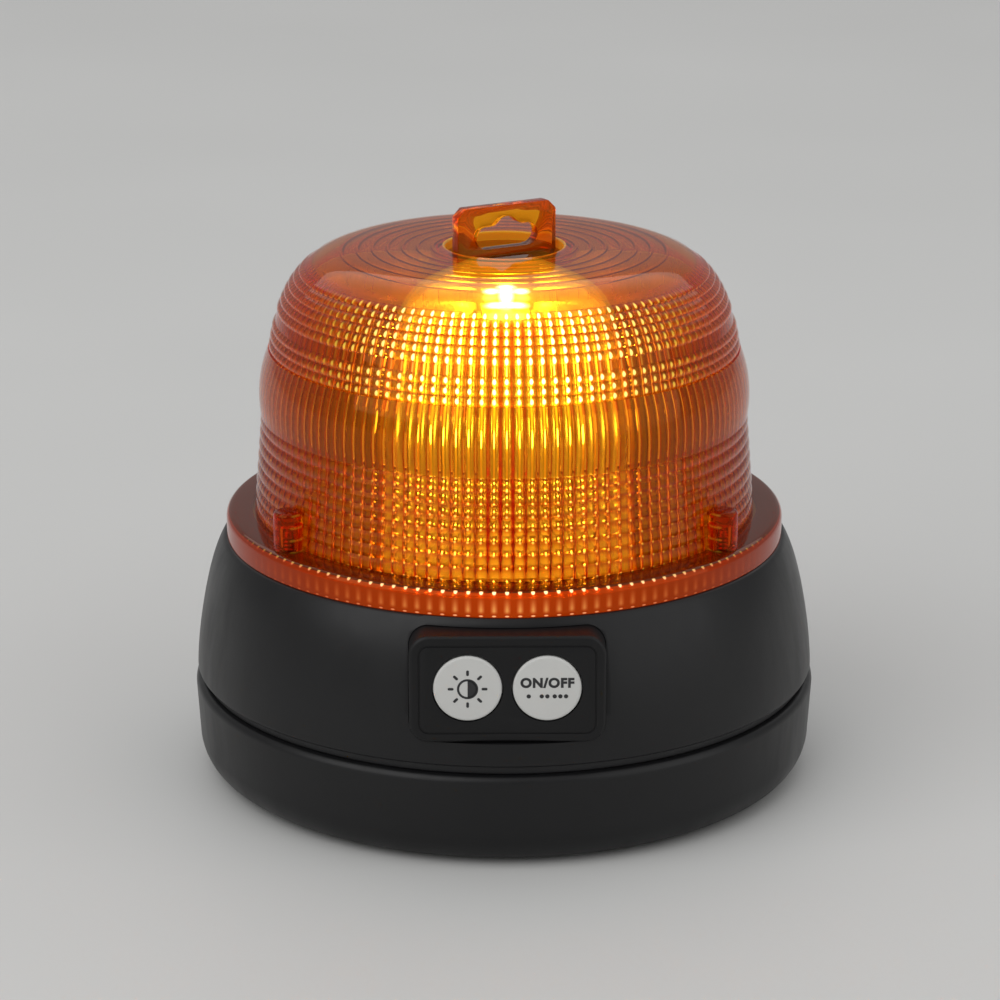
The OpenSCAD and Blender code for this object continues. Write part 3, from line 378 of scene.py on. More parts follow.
FLUTES, FLUTE_STEPS, FLUTE_DEPTH, FLUTES_IN_R = 132, 8, 0.75, 44.8
COLUMNS = 2 * FLUTES
TUBE_RINGS, DOME_RINGS, PLAIN_RING = 8, 10, 3
RING_DEPTH, RING_STEPS, RING_TURN = 0.5, 6, 4.48
WALL = 2.2
TUBE_R = FLANGE_R - 6.8
WAIST_R = TUBE_R - 1.9
FLANGE_Z = DECK_Z + 6.1
WAIST_Z = DECK_Z + 29.6
DOME_Z = WAIST_Z + 15.8
SPRING_Z = DOME_Z - 7
DOME_R = WAIST_R - 1.5
DOME_H = CROWN_Z - SPRING_Z
DOME_FULL, DOME_SIDE = 8.0, 1.77
BAND_CURVE, BAND_PEAK = 28, 4.5
WELL_R = 13.9
RIB_PITCH, RIB_W, RIB_DEPTH, RIBS, RIB_STEPS = 3.5, 1.4, 0.08, 7, 6
POST_BEARINGS = (-54.5, 54.5, 180)
POST_CIRCLE_R, POST_R, POST_TOP = TUBE_R + 1.5, 3.6, DECK_Z + 15.4


def tube_out(z):
    return TUBE_R - (TUBE_R - WAIST_R) * (z - FLANGE_Z) / (WAIST_Z - FLANGE_Z)


def band_out(z):
    peak = WAIST_R + BAND_CURVE - sqrt(BAND_CURVE ** 2 - BAND_PEAK ** 2)
    return peak - BAND_CURVE + sqrt(BAND_CURVE ** 2 - (z - WAIST_Z - BAND_PEAK) ** 2)


def dome_point(turn, inset=0.0):
    """A point of the dome's curve. Turn 0 is its top, 90 its spring circle."""
    s, c = sin(radians(turn)), cos(radians(turn))
    return (DOME_R - inset) * s ** (2 / DOME_FULL), SPRING_Z + (DOME_H - inset) * c ** (2 / DOME_SIDE)


def dome_turn_at_z(z, inset=0.0):
    return degrees(acos(((z - SPRING_Z) / (DOME_H - inset)) ** (DOME_SIDE / 2)))


def dome_turn_at_r(r, inset=0.0):
    return degrees(asin((r / (DOME_R - inset)) ** (DOME_FULL / 2)))


def bump(s):
    """Height of one rounded ring over its own width."""
    u = 2 * (s - floor(s)) - 1
    return 1 - u * u


def under_crown(r):
    return dome_point(dome_turn_at_r(r, WALL), WALL)[1]


def between(a, b, steps, first=0):
    """Even steps from a to b, from the step numbered first."""
    return [a + (b - a) * i / steps for i in range(first, steps + 1)]


def lens_outside():
    """The outside of the lens as (radius, height), from the foot up to the middle of the well."""
    edge, rim = 1.7, 0.5
    points = [(TUBE_R, LENS_FOOT_Z), (TUBE_R, FLANGE_Z - WALL), (FLANGE_R - WALL, FLANGE_Z - WALL),
              (FLANGE_R - WALL, DECK_Z), (FLANGE_R - 0.25, DECK_Z), (FLANGE_R, DECK_Z + 0.25)]
    points += arc(FLANGE_R - edge, FLANGE_Z - edge, edge, edge, 0, 90, 6)
    points.append((TUBE_R + 0.5, FLANGE_Z))
    for i in range(TUBE_RINGS * RING_STEPS + 1):
        s = i / RING_STEPS
        z = FLANGE_Z + (WAIST_Z - FLANGE_Z) * s / TUBE_RINGS
        points.append((tube_out(z) - RING_DEPTH * (1 - bump(s)), z))
    points += [(band_out(z), z) for z in between(WAIST_Z, DOME_Z, 8)]
    first = dome_turn_at_z(DOME_Z)
    for i in range(DOME_RINGS * RING_STEPS + 1):
        s = i / RING_STEPS
        r, z = dome_point(first - s * RING_TURN)
        rise = 0 if i // RING_STEPS == PLAIN_RING else bump(s)
        points.append((r - RING_DEPTH * (1 - rise), z))
    # Even steps in radius, because the curve is flat near the crown
    start = dome_point(first - DOME_RINGS * RING_TURN)[0]
    points += [dome_point(dome_turn_at_r(r)) for r in between(start, WELL_R + rim, 12, 1)]
    points += arc(WELL_R + rim, points[-1][1] - rim, rim, rim, 90, 180, 4)[1:]
    return points + [(WELL_R, WELL_Z + 0.4), (WELL_R - 0.4, WELL_Z), (0, WELL_Z)]


def lens_crown_inside():
    """The underside of the well and of the crown, with its ribs, from the axis outwards."""
    wall = WELL_R + WALL
    points = [(0, WELL_Z - WALL), (wall - 0.4, WELL_Z - WALL), (wall, WELL_Z - WALL + 0.4)]
    for k in range(RIBS):
        for i in range(RIB_STEPS + 1):
            r = wall + k * RIB_PITCH + i * RIB_W / RIB_STEPS
            points.append((r, under_crown(r) - RIB_DEPTH * (1 - cos(2 * pi * i / RIB_STEPS)) / 2))
    return points + [(wall + RIBS * RIB_PITCH, under_crown(wall + RIBS * RIB_PITCH))]


def lens_side_inside():
    """The fluted inside as (radius, height, share of the flutes' depth), from the crown down to the foot."""
    ribs_end = WELL_R + WALL + RIBS * RIB_PITCH
    points = [(r, under_crown(r), 0) for r in between(ribs_end, FLUTES_IN_R, 4, 1)]
    turns = between(dome_turn_at_r(FLUTES_IN_R, WALL), dome_turn_at_z(DOME_Z, WALL), 17, 1)
    points += [(*dome_point(turn, WALL), min(1.0, (i + 1) / 2)) for i, turn in enumerate(turns)]
    points += [(band_out(z) - WALL, z, 1) for z in between(DOME_Z, WAIST_Z, 8, 1)]
    points += [(tube_out(z) - WALL, z, 1) for z in between(WAIST_Z, FLANGE_Z, 8, 1)]
    return points + [(TUBE_R - WALL, FLANGE_Z - 2, 0), (TUBE_R - WALL, LENS_FOOT_Z, 0)]


def stitched(a, b):
    """Faces between two rings of vertex numbers, where one ring may be several times as fine."""
    if len(a) < len(b):
        return [face[::-1] for face in stitched(b, a)]
    if len(b) == 1:
        return [(a[j], a[(j + 1) % len(a)], b[0]) for j in range(len(a))]
    step = len(a) // len(b)
    return [[a[(j * step + i) % len(a)] for i in range(step + 1)] + [b[(j + 1) % len(b)], b[j]]
            for j in range(len(b))]


def lens_mesh():
    """The lens turned round its axis, with the flutes pressed into its inside."""
    outside, crown_inside = ([(r, z, 0, COLUMNS if r else 1) for r, z in points]
                             for points in (lens_outside(), lens_crown_inside()))
    rows = outside + crown_inside
    rows += [(r, z, share, FLUTES * FLUTE_STEPS) for r, z, share in lens_side_inside()]
    verts, rings = [], []
    for r, z, share, columns in rows:
        rings.append(range(len(verts), len(verts) + columns))
        for j, t in enumerate(around(columns)):
            # Each flute bulges inwards, between sharp valleys that reach the full radius. One faces the front
            radius = r - share * FLUTE_DEPTH * (bump(j / FLUTE_STEPS + 0.5) if share else 0)
            verts.append((radius * sin(t), -radius * cos(t), z))
    faces = []
    for i, (a, b) in enumerate(zip(rings, rings[1:] + rings[:1])):
        if i + 1 != len(outside):
            faces += stitched(a, b)
    return solid(verts, faces)


def lens_with_posts():
    top = POST_TOP - 1.2
    profile = [(0, DECK_Z), (POST_R, DECK_Z), (POST_R * 0.96, top)]
    profile += arc(POST_R * 0.96 - 1.2, top, 1.2, 1.2, 0, 90, 5) + [(0, POST_TOP)]
    places = [at_bearing(b, POST_CIRCLE_R) for b in POST_BEARINGS]
    posts = joined([revolve(profile, 48, place) for place in places])
    bores = joined([peg(1.45, DECK_Z - 1, DECK_Z + 11.5, place, 24) for place in places])
    return cut(cut(lens_mesh(), [posts], "UNION"), [bores])


# ------ housings

SEAL_TOP, LIP_R = high("housing_seal"), high("housing_seal", "x") - 3.6
RIM_ROUND, BASE_DRAFT = 1.9, 0.7
DECK_T, DECK_BORE = 3, 5
GROOVE_IN, GROOVE_OUT, UPSTAND_W = TUBE_R - WALL - 0.3, TUBE_R + 0.3, 3.6
SHELL_LEAN, SHELL_ROLL, SHELL_WALL = 5.8, 1.5, 2.5
HOLDER_Z = low("battery_holder")
FOOT_OUT_R, FOOT_TOP = high("foot_ring", "x"), high("foot_ring")
FOOT_IN_R = FOOT_OUT_R - 4
MAGNETS = [at_bearing(b, 30) for b in (60, 180, 300)]
BASE_SCREWS = [at_bearing(b, 52) for b in (0, 120, 240)]
TOWER_SCREWS = [at_bearing(b, 16.2) for b in (0, 120, 240)]
BLIND_R, SCREW_R = 1.15, 1.95


def shell_out(z):
    t = max(0.0, (z - SEAL_TOP) / (DECK_Z - SEAL_TOP))
    return SHELL_R - SHELL_LEAN * t ** 1.6 - SHELL_ROLL * t ** 8


def pocket(r, top, matrix):
    """A round hole cut up into the underside, with a broken edge at its mouth."""
    mouth, z = r + 0.3, BASE_BOTTOM
    return revolve([(0, -1), (mouth, -1), (mouth, z), (r, z + 0.3), (r, top), (0, top)], 64, matrix)


def groove(r0, r1, top, columns=288, chamfer=0.2):
    """A ring cut up into the underside, with broken edges at its mouth."""
    out, back, z = r1 + chamfer, r0 - chamfer, BASE_BOTTOM
    return revolve([(back, -1), (out, -1), (out, z), (r1, z + chamfer), (r1, top), (r0, top),
                    (r0, z + chamfer), (back, z)], columns)


def lower_housing_mesh():
    corner_w, corner_h, wall, floor_t = 6.5, 8, 2.4, 2.2
    foot = BASE_R - BASE_DRAFT
    flat_r, corner_z = foot - corner_w, BASE_BOTTOM + corner_h
    outline = [(0, BASE_BOTTOM)]
    outline += arc(flat_r, corner_z, corner_w, corner_h, -90, 0, 24)
    outline += arc(BASE_R - RIM_ROUND, BASE_TOP - RIM_ROUND, RIM_ROUND, RIM_ROUND, 0, 90, 8)
    outline += [(LIP_R, BASE_TOP), (LIP_R, BASE_TOP - 3), (foot - wall, BASE_TOP - 5.5)]
    outline += arc(flat_r, corner_z, corner_w - wall, corner_h - floor_t, 0, -90, 12)
    outline.append((0, BASE_BOTTOM + floor_t))
    inside_z = BASE_BOTTOM + 0.5
    posts, holes = [], []
    for m in MAGNETS:
        posts += [peg(17.1, inside_z, 8.5, m, 96), peg(3.9, inside_z, 12.4, m)]
        holes += [pocket(15.15, 6.5, m), peg(SCREW_R, 6, 11.2, m, 32)]
    for m in BASE_SCREWS:
        posts.append(peg(5.9, inside_z, BASE_TOP - 0.02, m))
        holes += [pocket(3.9, 18, m), peg(2.2, 17, 30, m, 32)]
    for m in (shift(-26), shift(26)):
        posts.append(peg(3.1, inside_z, HOLDER_Z, m))
        holes.append(peg(BLIND_R, HOLDER_Z - 4.5, HOLDER_Z + 1, m, 24))
    holes.append(groove(FOOT_IN_R - 0.15, FOOT_OUT_R + 0.15, FOOT_TOP))
    # Two fine moulded rings outside the magnets
    holes += [groove(r, r + 0.4, BASE_BOTTOM + 0.4, 144, 0.15) for r in (49.5, 57)]
    return cut(cut(revolve(outline, 288), posts, "UNION"), holes)


def upper_housing_mesh():
    under, lip_top = DECK_Z - DECK_T, SEAL_TOP + 3
    upstand_z, upstand_r = FLANGE_Z - WALL - 0.3, GROOVE_OUT + UPSTAND_W
    outline = [(LIP_R, SEAL_TOP), (shell_out(SEAL_TOP) - 0.3, SEAL_TOP)]
    outline += [(shell_out(z), z) for z in between(SEAL_TOP + 0.3, DECK_Z - 0.35, 40)]
    outline += [(shell_out(DECK_Z) - 0.25, DECK_Z), (upstand_r, DECK_Z), (upstand_r, upstand_z - 0.3),
                (upstand_r - 0.3, upstand_z), (GROOVE_OUT + 0.3, upstand_z), (GROOVE_OUT, upstand_z - 0.3),
                (GROOVE_OUT, DECK_Z - 2), (GROOVE_IN, DECK_Z - 2), (GROOVE_IN, DECK_Z), (DECK_BORE, DECK_Z),
                (DECK_BORE, under)]
    outline += [(shell_out(z) - SHELL_WALL, z) for z in between(under, lip_top + 1.5, 11)]
    shell = revolve(outline + [(LIP_R, lip_top)], 288)
    full = [(0, SEAL_TOP)] + [(shell_out(z) - 0.02, z) for z in between(SEAL_TOP, DECK_Z, 20)] + [(0, DECK_Z)]
    recess, frame_back = BACK_AT_PORT @ shift(0, -3.65), PANEL_FRONT - 11.5
    inner = [cut(block, [revolve(full, 144)], "INTERSECT") for block in (
        prism(slab(20.2, 21, 3), PORT_FLOOR - 5.7, SHELL_R, recess),
        prism(slab(47.6, 28.9, 6.3), frame_back, SHELL_R, FRONT_AT_PANEL))]
    holes = []
    for m, tower in zip(BASE_SCREWS, TOWER_SCREWS):
        inner.append(peg(3.9, BASE_TOP + 0.1, under + 0.5, m))
        holes += [peg(SCREW_R, BASE_TOP, 35, m, 32), peg(BLIND_R, DECK_Z - 2.2, DECK_Z + 1, tower, 24)]
    for m in (shift(sx * 28, sy * 18) for sx in (-1, 1) for sy in (-1, 1)):
        inner.append(peg(3.1, BOARD_TOP, under + 0.5, m))
        holes.append(peg(BLIND_R, BOARD_TOP - 1, BOARD_TOP + 4.9, m, 24))
    holes += [prism(slab(44, 25.3, 4.65), frame_back - 1.3, 80, FRONT_AT_PANEL),
              prism(slab(16.6, 17.4, 3), PORT_FLOOR, 80, recess),
              prism(slab(11.2, 5.5, 2.6), PORT_FLOOR - 2.1, PORT_FLOOR + 1, BACK_AT_PORT),
              prism(slab(9.3, 3.6, 1.7), PORT_FLOOR - 7, PORT_FLOOR - 1, BACK_AT_PORT),
              peg(1.55, PORT_FLOOR - 10, PORT_FLOOR + 2, BACK_AT_PORT, y=-STUD_DOWN)]
    for m in (at_bearing(b, POST_CIRCLE_R) for b in POST_BEARINGS):
        holes += [peg(POST_R + 0.3, DECK_Z, DECK_Z + 9, m), peg(1.7, under - 1, DECK_Z + 1, m, 32)]
    return bevelled(cut(cut(shell, inner, "UNION"), holes), 0.2)


# ------ the studio

def studio():
    """A pale floor, an even grey surround and three soft lamps, in metres."""
    n, half = Nodes("pale_floor"), 4 / MM
    corners = [(-half, -half, 0), (half, -half, 0), (half, half, 0), (-half, half, 0)]
    ground = from_arrays(corners, [(0, 1, 2, 3)])
    shade = n.ramp(n.noise(3, 2), [(0.3, (0.60, 0.60, 0.59)), (0.7, (0.63, 0.63, 0.62))])
    n.shader(Base_Color=shade, Roughness=0.55)
    ground.materials.append(LOOKS["pale_floor"])
    add_object("floor", ground)
    world = bpy.data.worlds.new("studio")
    world.use_nodes = True
    background = world.node_tree.nodes["Background"]
    background.inputs["Color"].default_value = (0.80, 0.80, 0.80, 1)
    background.inputs["Strength"].default_value = 0.40
    bpy.context.scene.world = world
    for name, place, size, power in (("key", (-1.5, -1.3, 1.7), 2.6, 34),
                                     ("fill", (1.8, -1.0, 1.1), 2.4, 14),
                                     ("top", (0.1, 1.0, 2.4), 4.0, 30)):
        light = bpy.data.lights.new(name, "AREA")
        light.energy, light.size = power, size
        obj = add_object(name, light)
        obj.location = place
        obj.rotation_euler = (Vector((0, 0, 0.07)) - Vector(place)).to_track_quat("-Z", "Y").to_euler()
    bpy.context.scene.view_settings.view_transform = "Standard"


def camera():
    """The camera looks 17.6 degrees down at the middle of the object, from just left of its front."""
    pitch, turn, distance, aim_z = radians(17.56), radians(-0.5), 792.4 * MM, 63.88 * MM
    data = bpy.data.cameras.new("camera")
    data.sensor_width, data.lens = 36, 118.8
    data.clip_start, data.clip_end = 0.05, 20
    obj = add_object("camera", data)
    place = Vector((-1 * MM, -distance * cos(pitch), aim_z + distance * sin(pitch)))
    obj.location = Matrix.Rotation(turn, 3, "Z") @ place
    obj.rotation_euler = (pi / 2 - pitch, 0, turn)
    bpy.context.scene.camera = obj


# ------ looks of each material

AMBER, AMBER_WARM = (0.97, 0.62, 0.025), (0.98, 0.54, 0.02)
# Painted shade for the valleys of the lens's rings and flutes
VALLEY_SHADE_RED = (0.66, 0.08, 0.001)
AMBER_SHEEN = (1.0, 0.40, 0.08)
# A painted red glow that fills the depth of the amber parts, which are no lamp
PAINTED_GLOW_RED = (1.0, 0.19, 0.008)
POST_RED = (0.70, 0.10, 0.002)
# Painted dark red shade for the flange's top and its outer face
FLANGE_SHADE_RED, FLANGE_EDGE_SHADE_RED = (0.16, 0.016, 0.0005), (0.34, 0.024, 0.0005)
# How deep a surface's colour reaches, with its painted shade and painted glow, and how deep in the wall its
# outer side ends
SKIN, HALF_WALL = 0.6, 1.2

# Strength of the light chips: the upper front ones flash, and the rest only glow
CHIP_LIGHT = {"bright": 700.0, "lit": 300.0, "side": 90.0, "low": 40.0, "dim": 4.0}
# Strength of the painted glow on the front strip, which is no lamp
STRIP_PAINTED_LIGHT = 11.0
# How many painted bright dots would go round the lens, and round its flange
DOTS, FLANGE_DOTS = 126, 144
# Where the painted image of the lit chips lies on the crown: how far to each side and to the front, and half
# the width and length
CLUSTER = [(0, 38.3, 1.7, 1.2), (3.3, 40.3, 1.5, 1.1), (0, 42.2, 1.3, 2.6), (2.4, 45.1, 2.0, 0.6)]
# The painted halo round them, and how far to each side of the front the crown has a painted lit sector, in
# degrees
HALO_Y, HALO_W, HALO_H, SECTOR = 42, 11, 8, 30
# Heights where the lens's painted dots come up to full, where its painted glow comes and goes, and where the
# crown begins
DOTS_RISE, GLOW_COMES, GLOW_GOES, CROWN_EDGE_Z = (86, 108), (84, 110), (116, 123), 119


def amber_shade(n):
    return n.mix(n.range(n.noise(26, 3), 0, 1, 0.3, 0.7), AMBER, AMBER_WARM)


def amber(name, absorb, density, glow, surface):
    """Clear amber polycarbonate. Its surface tints a little, and its depth takes off more and more of the
    yellow, so that thick places turn red. A painted glow fills all its depth. Surface gives its colour
    with any painted shade, the painted light of the chips on it, and how clear it is."""
    n = Nodes(name)
    base, light, strength, clear = surface(n)
    absorbed = n.node("ShaderNodeVolumeAbsorption", {"Color": absorb, "Density": density})
    painted_glow = n.node("ShaderNodeEmission", {"Color": PAINTED_GLOW_RED, "Strength": glow})
    n.fill(n.out.inputs["Volume"], n.node("ShaderNodeAddShader", {0: absorbed, 1: painted_glow}))
    n.shader(Base_Color=base, Roughness=n.range(n.noise(60, 5, 0.6), 0.012, 0.06, 0.35, 0.7), IOR=1.49,
             Transmission_Weight=clear, Specular_Tint=AMBER_SHEEN, Emission_Color=light,
             Emission_Strength=strength, Normal=n.bump(n.noise(420, 2, 0.5), 0.05, 0.02))


def tab_surface(n):
    return amber_shade(n), AMBER, 0.0, 1.0


def cylinder_places(n):
    """Radius, bearing in radians and height of a shaded point, with its lengths in millimetres."""
    x, y, z = (part * (1 / MM) for part in n.split())
    return n.math("SQRT", x * x + y * y), n.math("ARCTAN2", x, y * -1.0), z


def oval(n, x, y, half_w, half_h):
    """How far a point is from the middle of an oval, as a share of the way to its edge."""
    a, b = x / half_w, y / half_h
    return n.math("SQRT", a * a + b * b)


def lens_surface(n):
    """The lens's colour, with painted shade that makes it deeper in the valleys between its flutes and rings,
    the painted light of the chips on it, and how clear it is. The painted light is dots on its rings, streaks
    down the flange's edge, a lit sector of the crown and the image of the chips there."""
    radius, bearing, z = cylinder_places(n)
    aside = abs(bearing)
    flute = n.math("COSINE", bearing * FLUTES)
    gap = 1.0 - n.math("COSINE", bearing * DOTS)

    # Across is where a point lies in its ring: 1 at its edges and 0 in its middle
    height = n.math("DIVIDE", z - SPRING_Z, DOME_H, clamp=True)
    turn = n.math("ARCCOSINE", height ** (DOME_SIDE / 2))
    on_dome, on_tube = z > DOME_Z, z < WAIST_Z
    dome_rings = (radians(dome_turn_at_z(DOME_Z)) - turn) / radians(RING_TURN)
    tube_rings = (z - FLANGE_Z) * (TUBE_RINGS / (WAIST_Z - FLANGE_Z))
    count = dome_rings * on_dome + tube_rings * (1.0 - on_dome)
    across = abs(n.math("FRACT", count) * 2.0 - 1.0)
    plain = n.math("COMPARE", n.math("FLOOR", dome_rings), PLAIN_RING) * on_dome
    above_plain = dome_rings > PLAIN_RING + 1
    # The flange's flat top lies at FLANGE_Z itself, and has none
    has_rings = on_tube * (z > FLANGE_Z + 0.01) + on_dome * (dome_rings < DOME_RINGS)

    # Rings are on the outside of the wall and flutes on its inside
    side = n.range(z, TUBE_R, WAIST_R, FLANGE_Z, WAIST_Z)
    shoulder = n.math("SINE", turn) ** (2 / DOME_FULL) * DOME_R
    outer = radius > side * (1.0 - on_dome) + shoulder * on_dome - HALF_WALL
    # Painted shade: the valleys between the rings, the plain ring and the valleys between the flutes are
    # painted deep red
    ring_valley_shade = n.math("DIVIDE", across - (0.55 - on_tube * 0.20), 0.40, clamp=True)
    ring_valley_shade = n.math("MAXIMUM", ring_valley_shade, plain) * has_rings * outer
    flute_valley_shade = n.fade(flute, -0.9, -0.1) * (1.0 - outer)
    flute_valley_shade = flute_valley_shade * (z < under_crown(FLUTES_IN_R)) * (z > FLANGE_Z - 2)
    base = n.mix(n.math("MAXIMUM", ring_valley_shade, flute_valley_shade) * 0.80, amber_shade(n), VALLEY_SHADE_RED)

    # The flange and the screw posts are thick, so the posts look deep red. The flange gets a painted dark red
    # shade, and little shows through it
    on_edge = radius > FLANGE_R - SKIN
    thick = (radius > TUBE_R + SKIN) * (radius < FLANGE_R - SKIN)
    on_flange = n.math("MAXIMUM", thick, on_edge) * (z < FLANGE_Z + 0.2)
    base = n.mix(thick, base, POST_RED)
    base = n.mix(on_flange, base, n.mix(on_edge, FLANGE_SHADE_RED, FLANGE_EDGE_SHADE_RED))
    # A painted glow in the well, whose wall also lets less of the dark inside through
    in_well = (radius < WELL_R + SKIN) * (z > WELL_Z + 0.1)
    clear = 1.0 - (on_flange * 0.55 + in_well * 0.45)

    # Painted light of the chips: it fades to the sides and towards the foot
    front = n.fade(aside, 0.05, 1.25) ** 1.5
    wide = n.fade(aside, 0.30, 1.05) ** 1.4
    rise = n.range(z, 0.12, 1.0, *DOTS_RISE)
    off = gap + across * across * n.range(above_plain, 1.3, 0.8)
    dot = n.fade(off, 0.20, 0.60) * has_rings * outer * on_dome * (1.0 - plain)
    dot = dot + n.range(gap, 0.2, 0, 0.0, 0.2) * plain * outer
    hollow = 1.0 - across
    low_dot = n.fade(gap * 1.6 + hollow * hollow * 6.0, 0.10, 0.40) * on_tube * has_rings * outer * 0.35
    dots = (dot * rise + low_dot) * wide
    beam = n.fade(aside, 0.15, 0.95) ** 1.6
    glow = n.range(z, 0, 1, *GLOW_COMES) * n.fade(z, *GLOW_GOES) * beam
    on_crown = (z > CROWN_EDGE_Z) * (radius > WELL_R)
    sector = on_crown * (aside < radians(SECTOR))

    # A painted image of the chips on the front of the crown: a white cluster with a yellow halo
    x, y = radius * n.math("SINE", bearing), radius * n.math("COSINE", bearing)
    spots = [n.fade(oval(n, abs(x) - at_x, y - at_y, half_x, half_y), 0.2, 1.6)
             for at_x, at_y, half_x, half_y in CLUSTER]
    cluster = sum(spots[1:], spots[0]) * on_crown
    halo = n.fade(oval(n, x, y - HALO_Y, HALO_W, HALO_H), 0.1, 1.0) ** 1.6 * on_crown

    # Painted bright dots along the flange's top and bottom edges, and painted light streaks down its face
    turns = bearing * (FLANGE_DOTS / (2 * pi)) + 0.5
    along = (n.math("FRACT", turns) - 0.5) * (2 * pi * FLANGE_R / FLANGE_DOTS)
    top_dot, foot_dot = (
        n.fade(oval(n, along, z - at_z, half_w, half_h), 0.6, 1.1) * (radius > FLANGE_R - 0.9)
        for at_z, half_w, half_h in ((FLANGE_Z - 0.35, 0.46, 0.46), (DECK_Z + 0.45, 0.55, 0.22)))
    streak = n.fade(abs(along), 0.1, 0.9) * n.range(z, 0, 1, DECK_Z + 0.8, DECK_Z + 1.6)
    streak = streak * n.range(z, 1, 0.12, DECK_Z + 2, DECK_Z + 4.5) * on_edge * front
    bright = (top_dot + foot_dot * 0.35) * front

    # Each kind of painted light has its own colour, and covers those before it where it is bright. Its row
    # gives how fast it covers them and its strength. They start from a painted glow on the flange's face and
    # high on the lens, and a painted lit sector of the crown
    total = on_edge * n.range(front, 0.03, 0.26) + glow * 0.08 + sector * 0.12
    colour = n.mix(on_edge, (0.95, 0.62, 0.03), (1.0, 0.09, 0.003))
    dot_shade = n.mix(wide * wide * rise, (1.0, 0.82, 0.10), (1.0, 0.96, 0.50))
    for level, cover, strength, shade in (
            (in_well, 1.0, 0.10, (1.0, 0.40, 0.03)), (streak, 1.0, 0.40, (1.0, 0.42, 0.10)),
            (dots, 2.5, 2.2, dot_shade), (bright, 2.0, 2.2, (1.0, 0.66, 0.30)),
            (halo, 1.5, 0.9, (1.0, 0.80, 0.03)), (cluster, 1.6, 1.8, (1.0, 0.98, 0.72))):
        total = total + level * strength
        colour = n.mix(n.math("MINIMUM", level * cover, 1.0), colour, shade)
    return base, colour, total, clear


def strip_look():
    """A white light strip. The front one has a painted glow for the light of its own chips, most of all near
    its top.
    """
    n = Nodes("strip_white")
    base = n.mix(n.range(n.noise(60, 4), 0, 1, 0.3, 0.7), (0.72, 0.72, 0.69), (0.76, 0.76, 0.73))
    radius, bearing, z = cylinder_places(n)
    rise = n.range(z, 0.30, 1.0, 62, 113) ** 4.5
    near = n.range(abs(radius * n.math("SINE", bearing)), 1.0, 0.2, 1.6, 5)
    n.shader(Base_Color=base, Roughness=n.range(n.noise(90, 5), 0.3, 0.42), Emission_Color=(0.86, 0.80, 0.28),
             Emission_Strength=(abs(bearing) < 0.5) * rise * near * STRIP_PAINTED_LIGHT,
             Normal=n.bump(n.noise(1100, 2), 0.2, 0.02))


def phosphor(name, strength):
    """The yellow gel over a light chip, a little uneven, with its light."""
    n = Nodes(name)
    shade = n.mix(n.range(n.cells(900), 0, 1, 0.1, 0.6), (0.80, 0.84, 0.86), (0.88, 0.92, 1.0))
    n.shader(Base_Color=(0.9, 0.62, 0.12), Roughness=0.35, Emission_Color=shade, Emission_Strength=strength)


def board_look():
    """A circuit board: solder mask over fine tracks."""
    n, mask = Nodes("board_green"), (0.008, 0.085, 0.030)
    bricks = n.node("ShaderNodeTexBrick", {"Vector": n.coords(), "Scale": 260, "Mortar Size": 0.05}, "Fac")
    tracks = n.cells(240, "DISTANCE_TO_EDGE") > 0.08
    base = n.mix(tracks * bricks, mask, tuple(c * 1.7 + 0.01 for c in mask))
    n.shader(Base_Color=base, Roughness=n.range(n.noise(120), 0.25, 0.42), Coat_Weight=0.3,
             Normal=n.bump(tracks, 0.25, 0.03))


def cell_look():
    """A battery cell's sleeve between its steel ends, by how far along x a point lies."""
    n, wrap = Nodes("cell_wrap"), (0.025, 0.11, 0.20)
    stops = [(0.0, wrap), (0.285, (0.62, 0.63, 0.62)), (0.295, wrap), (0.308, (0.50, 0.50, 0.50))]
    shade = n.ramp(abs(n.split()[0]) * 10.0, stops, "CONSTANT")
    base = n.mix(1.0, shade, n.range(n.noise(120, 5), 0.85, 1.1), "MULTIPLY")
    n.shader(Base_Color=base, Roughness=n.range(n.noise(200, 3), 0.26, 0.40),
             Normal=n.bump(n.noise(900, 2), 0.15, 0.02))


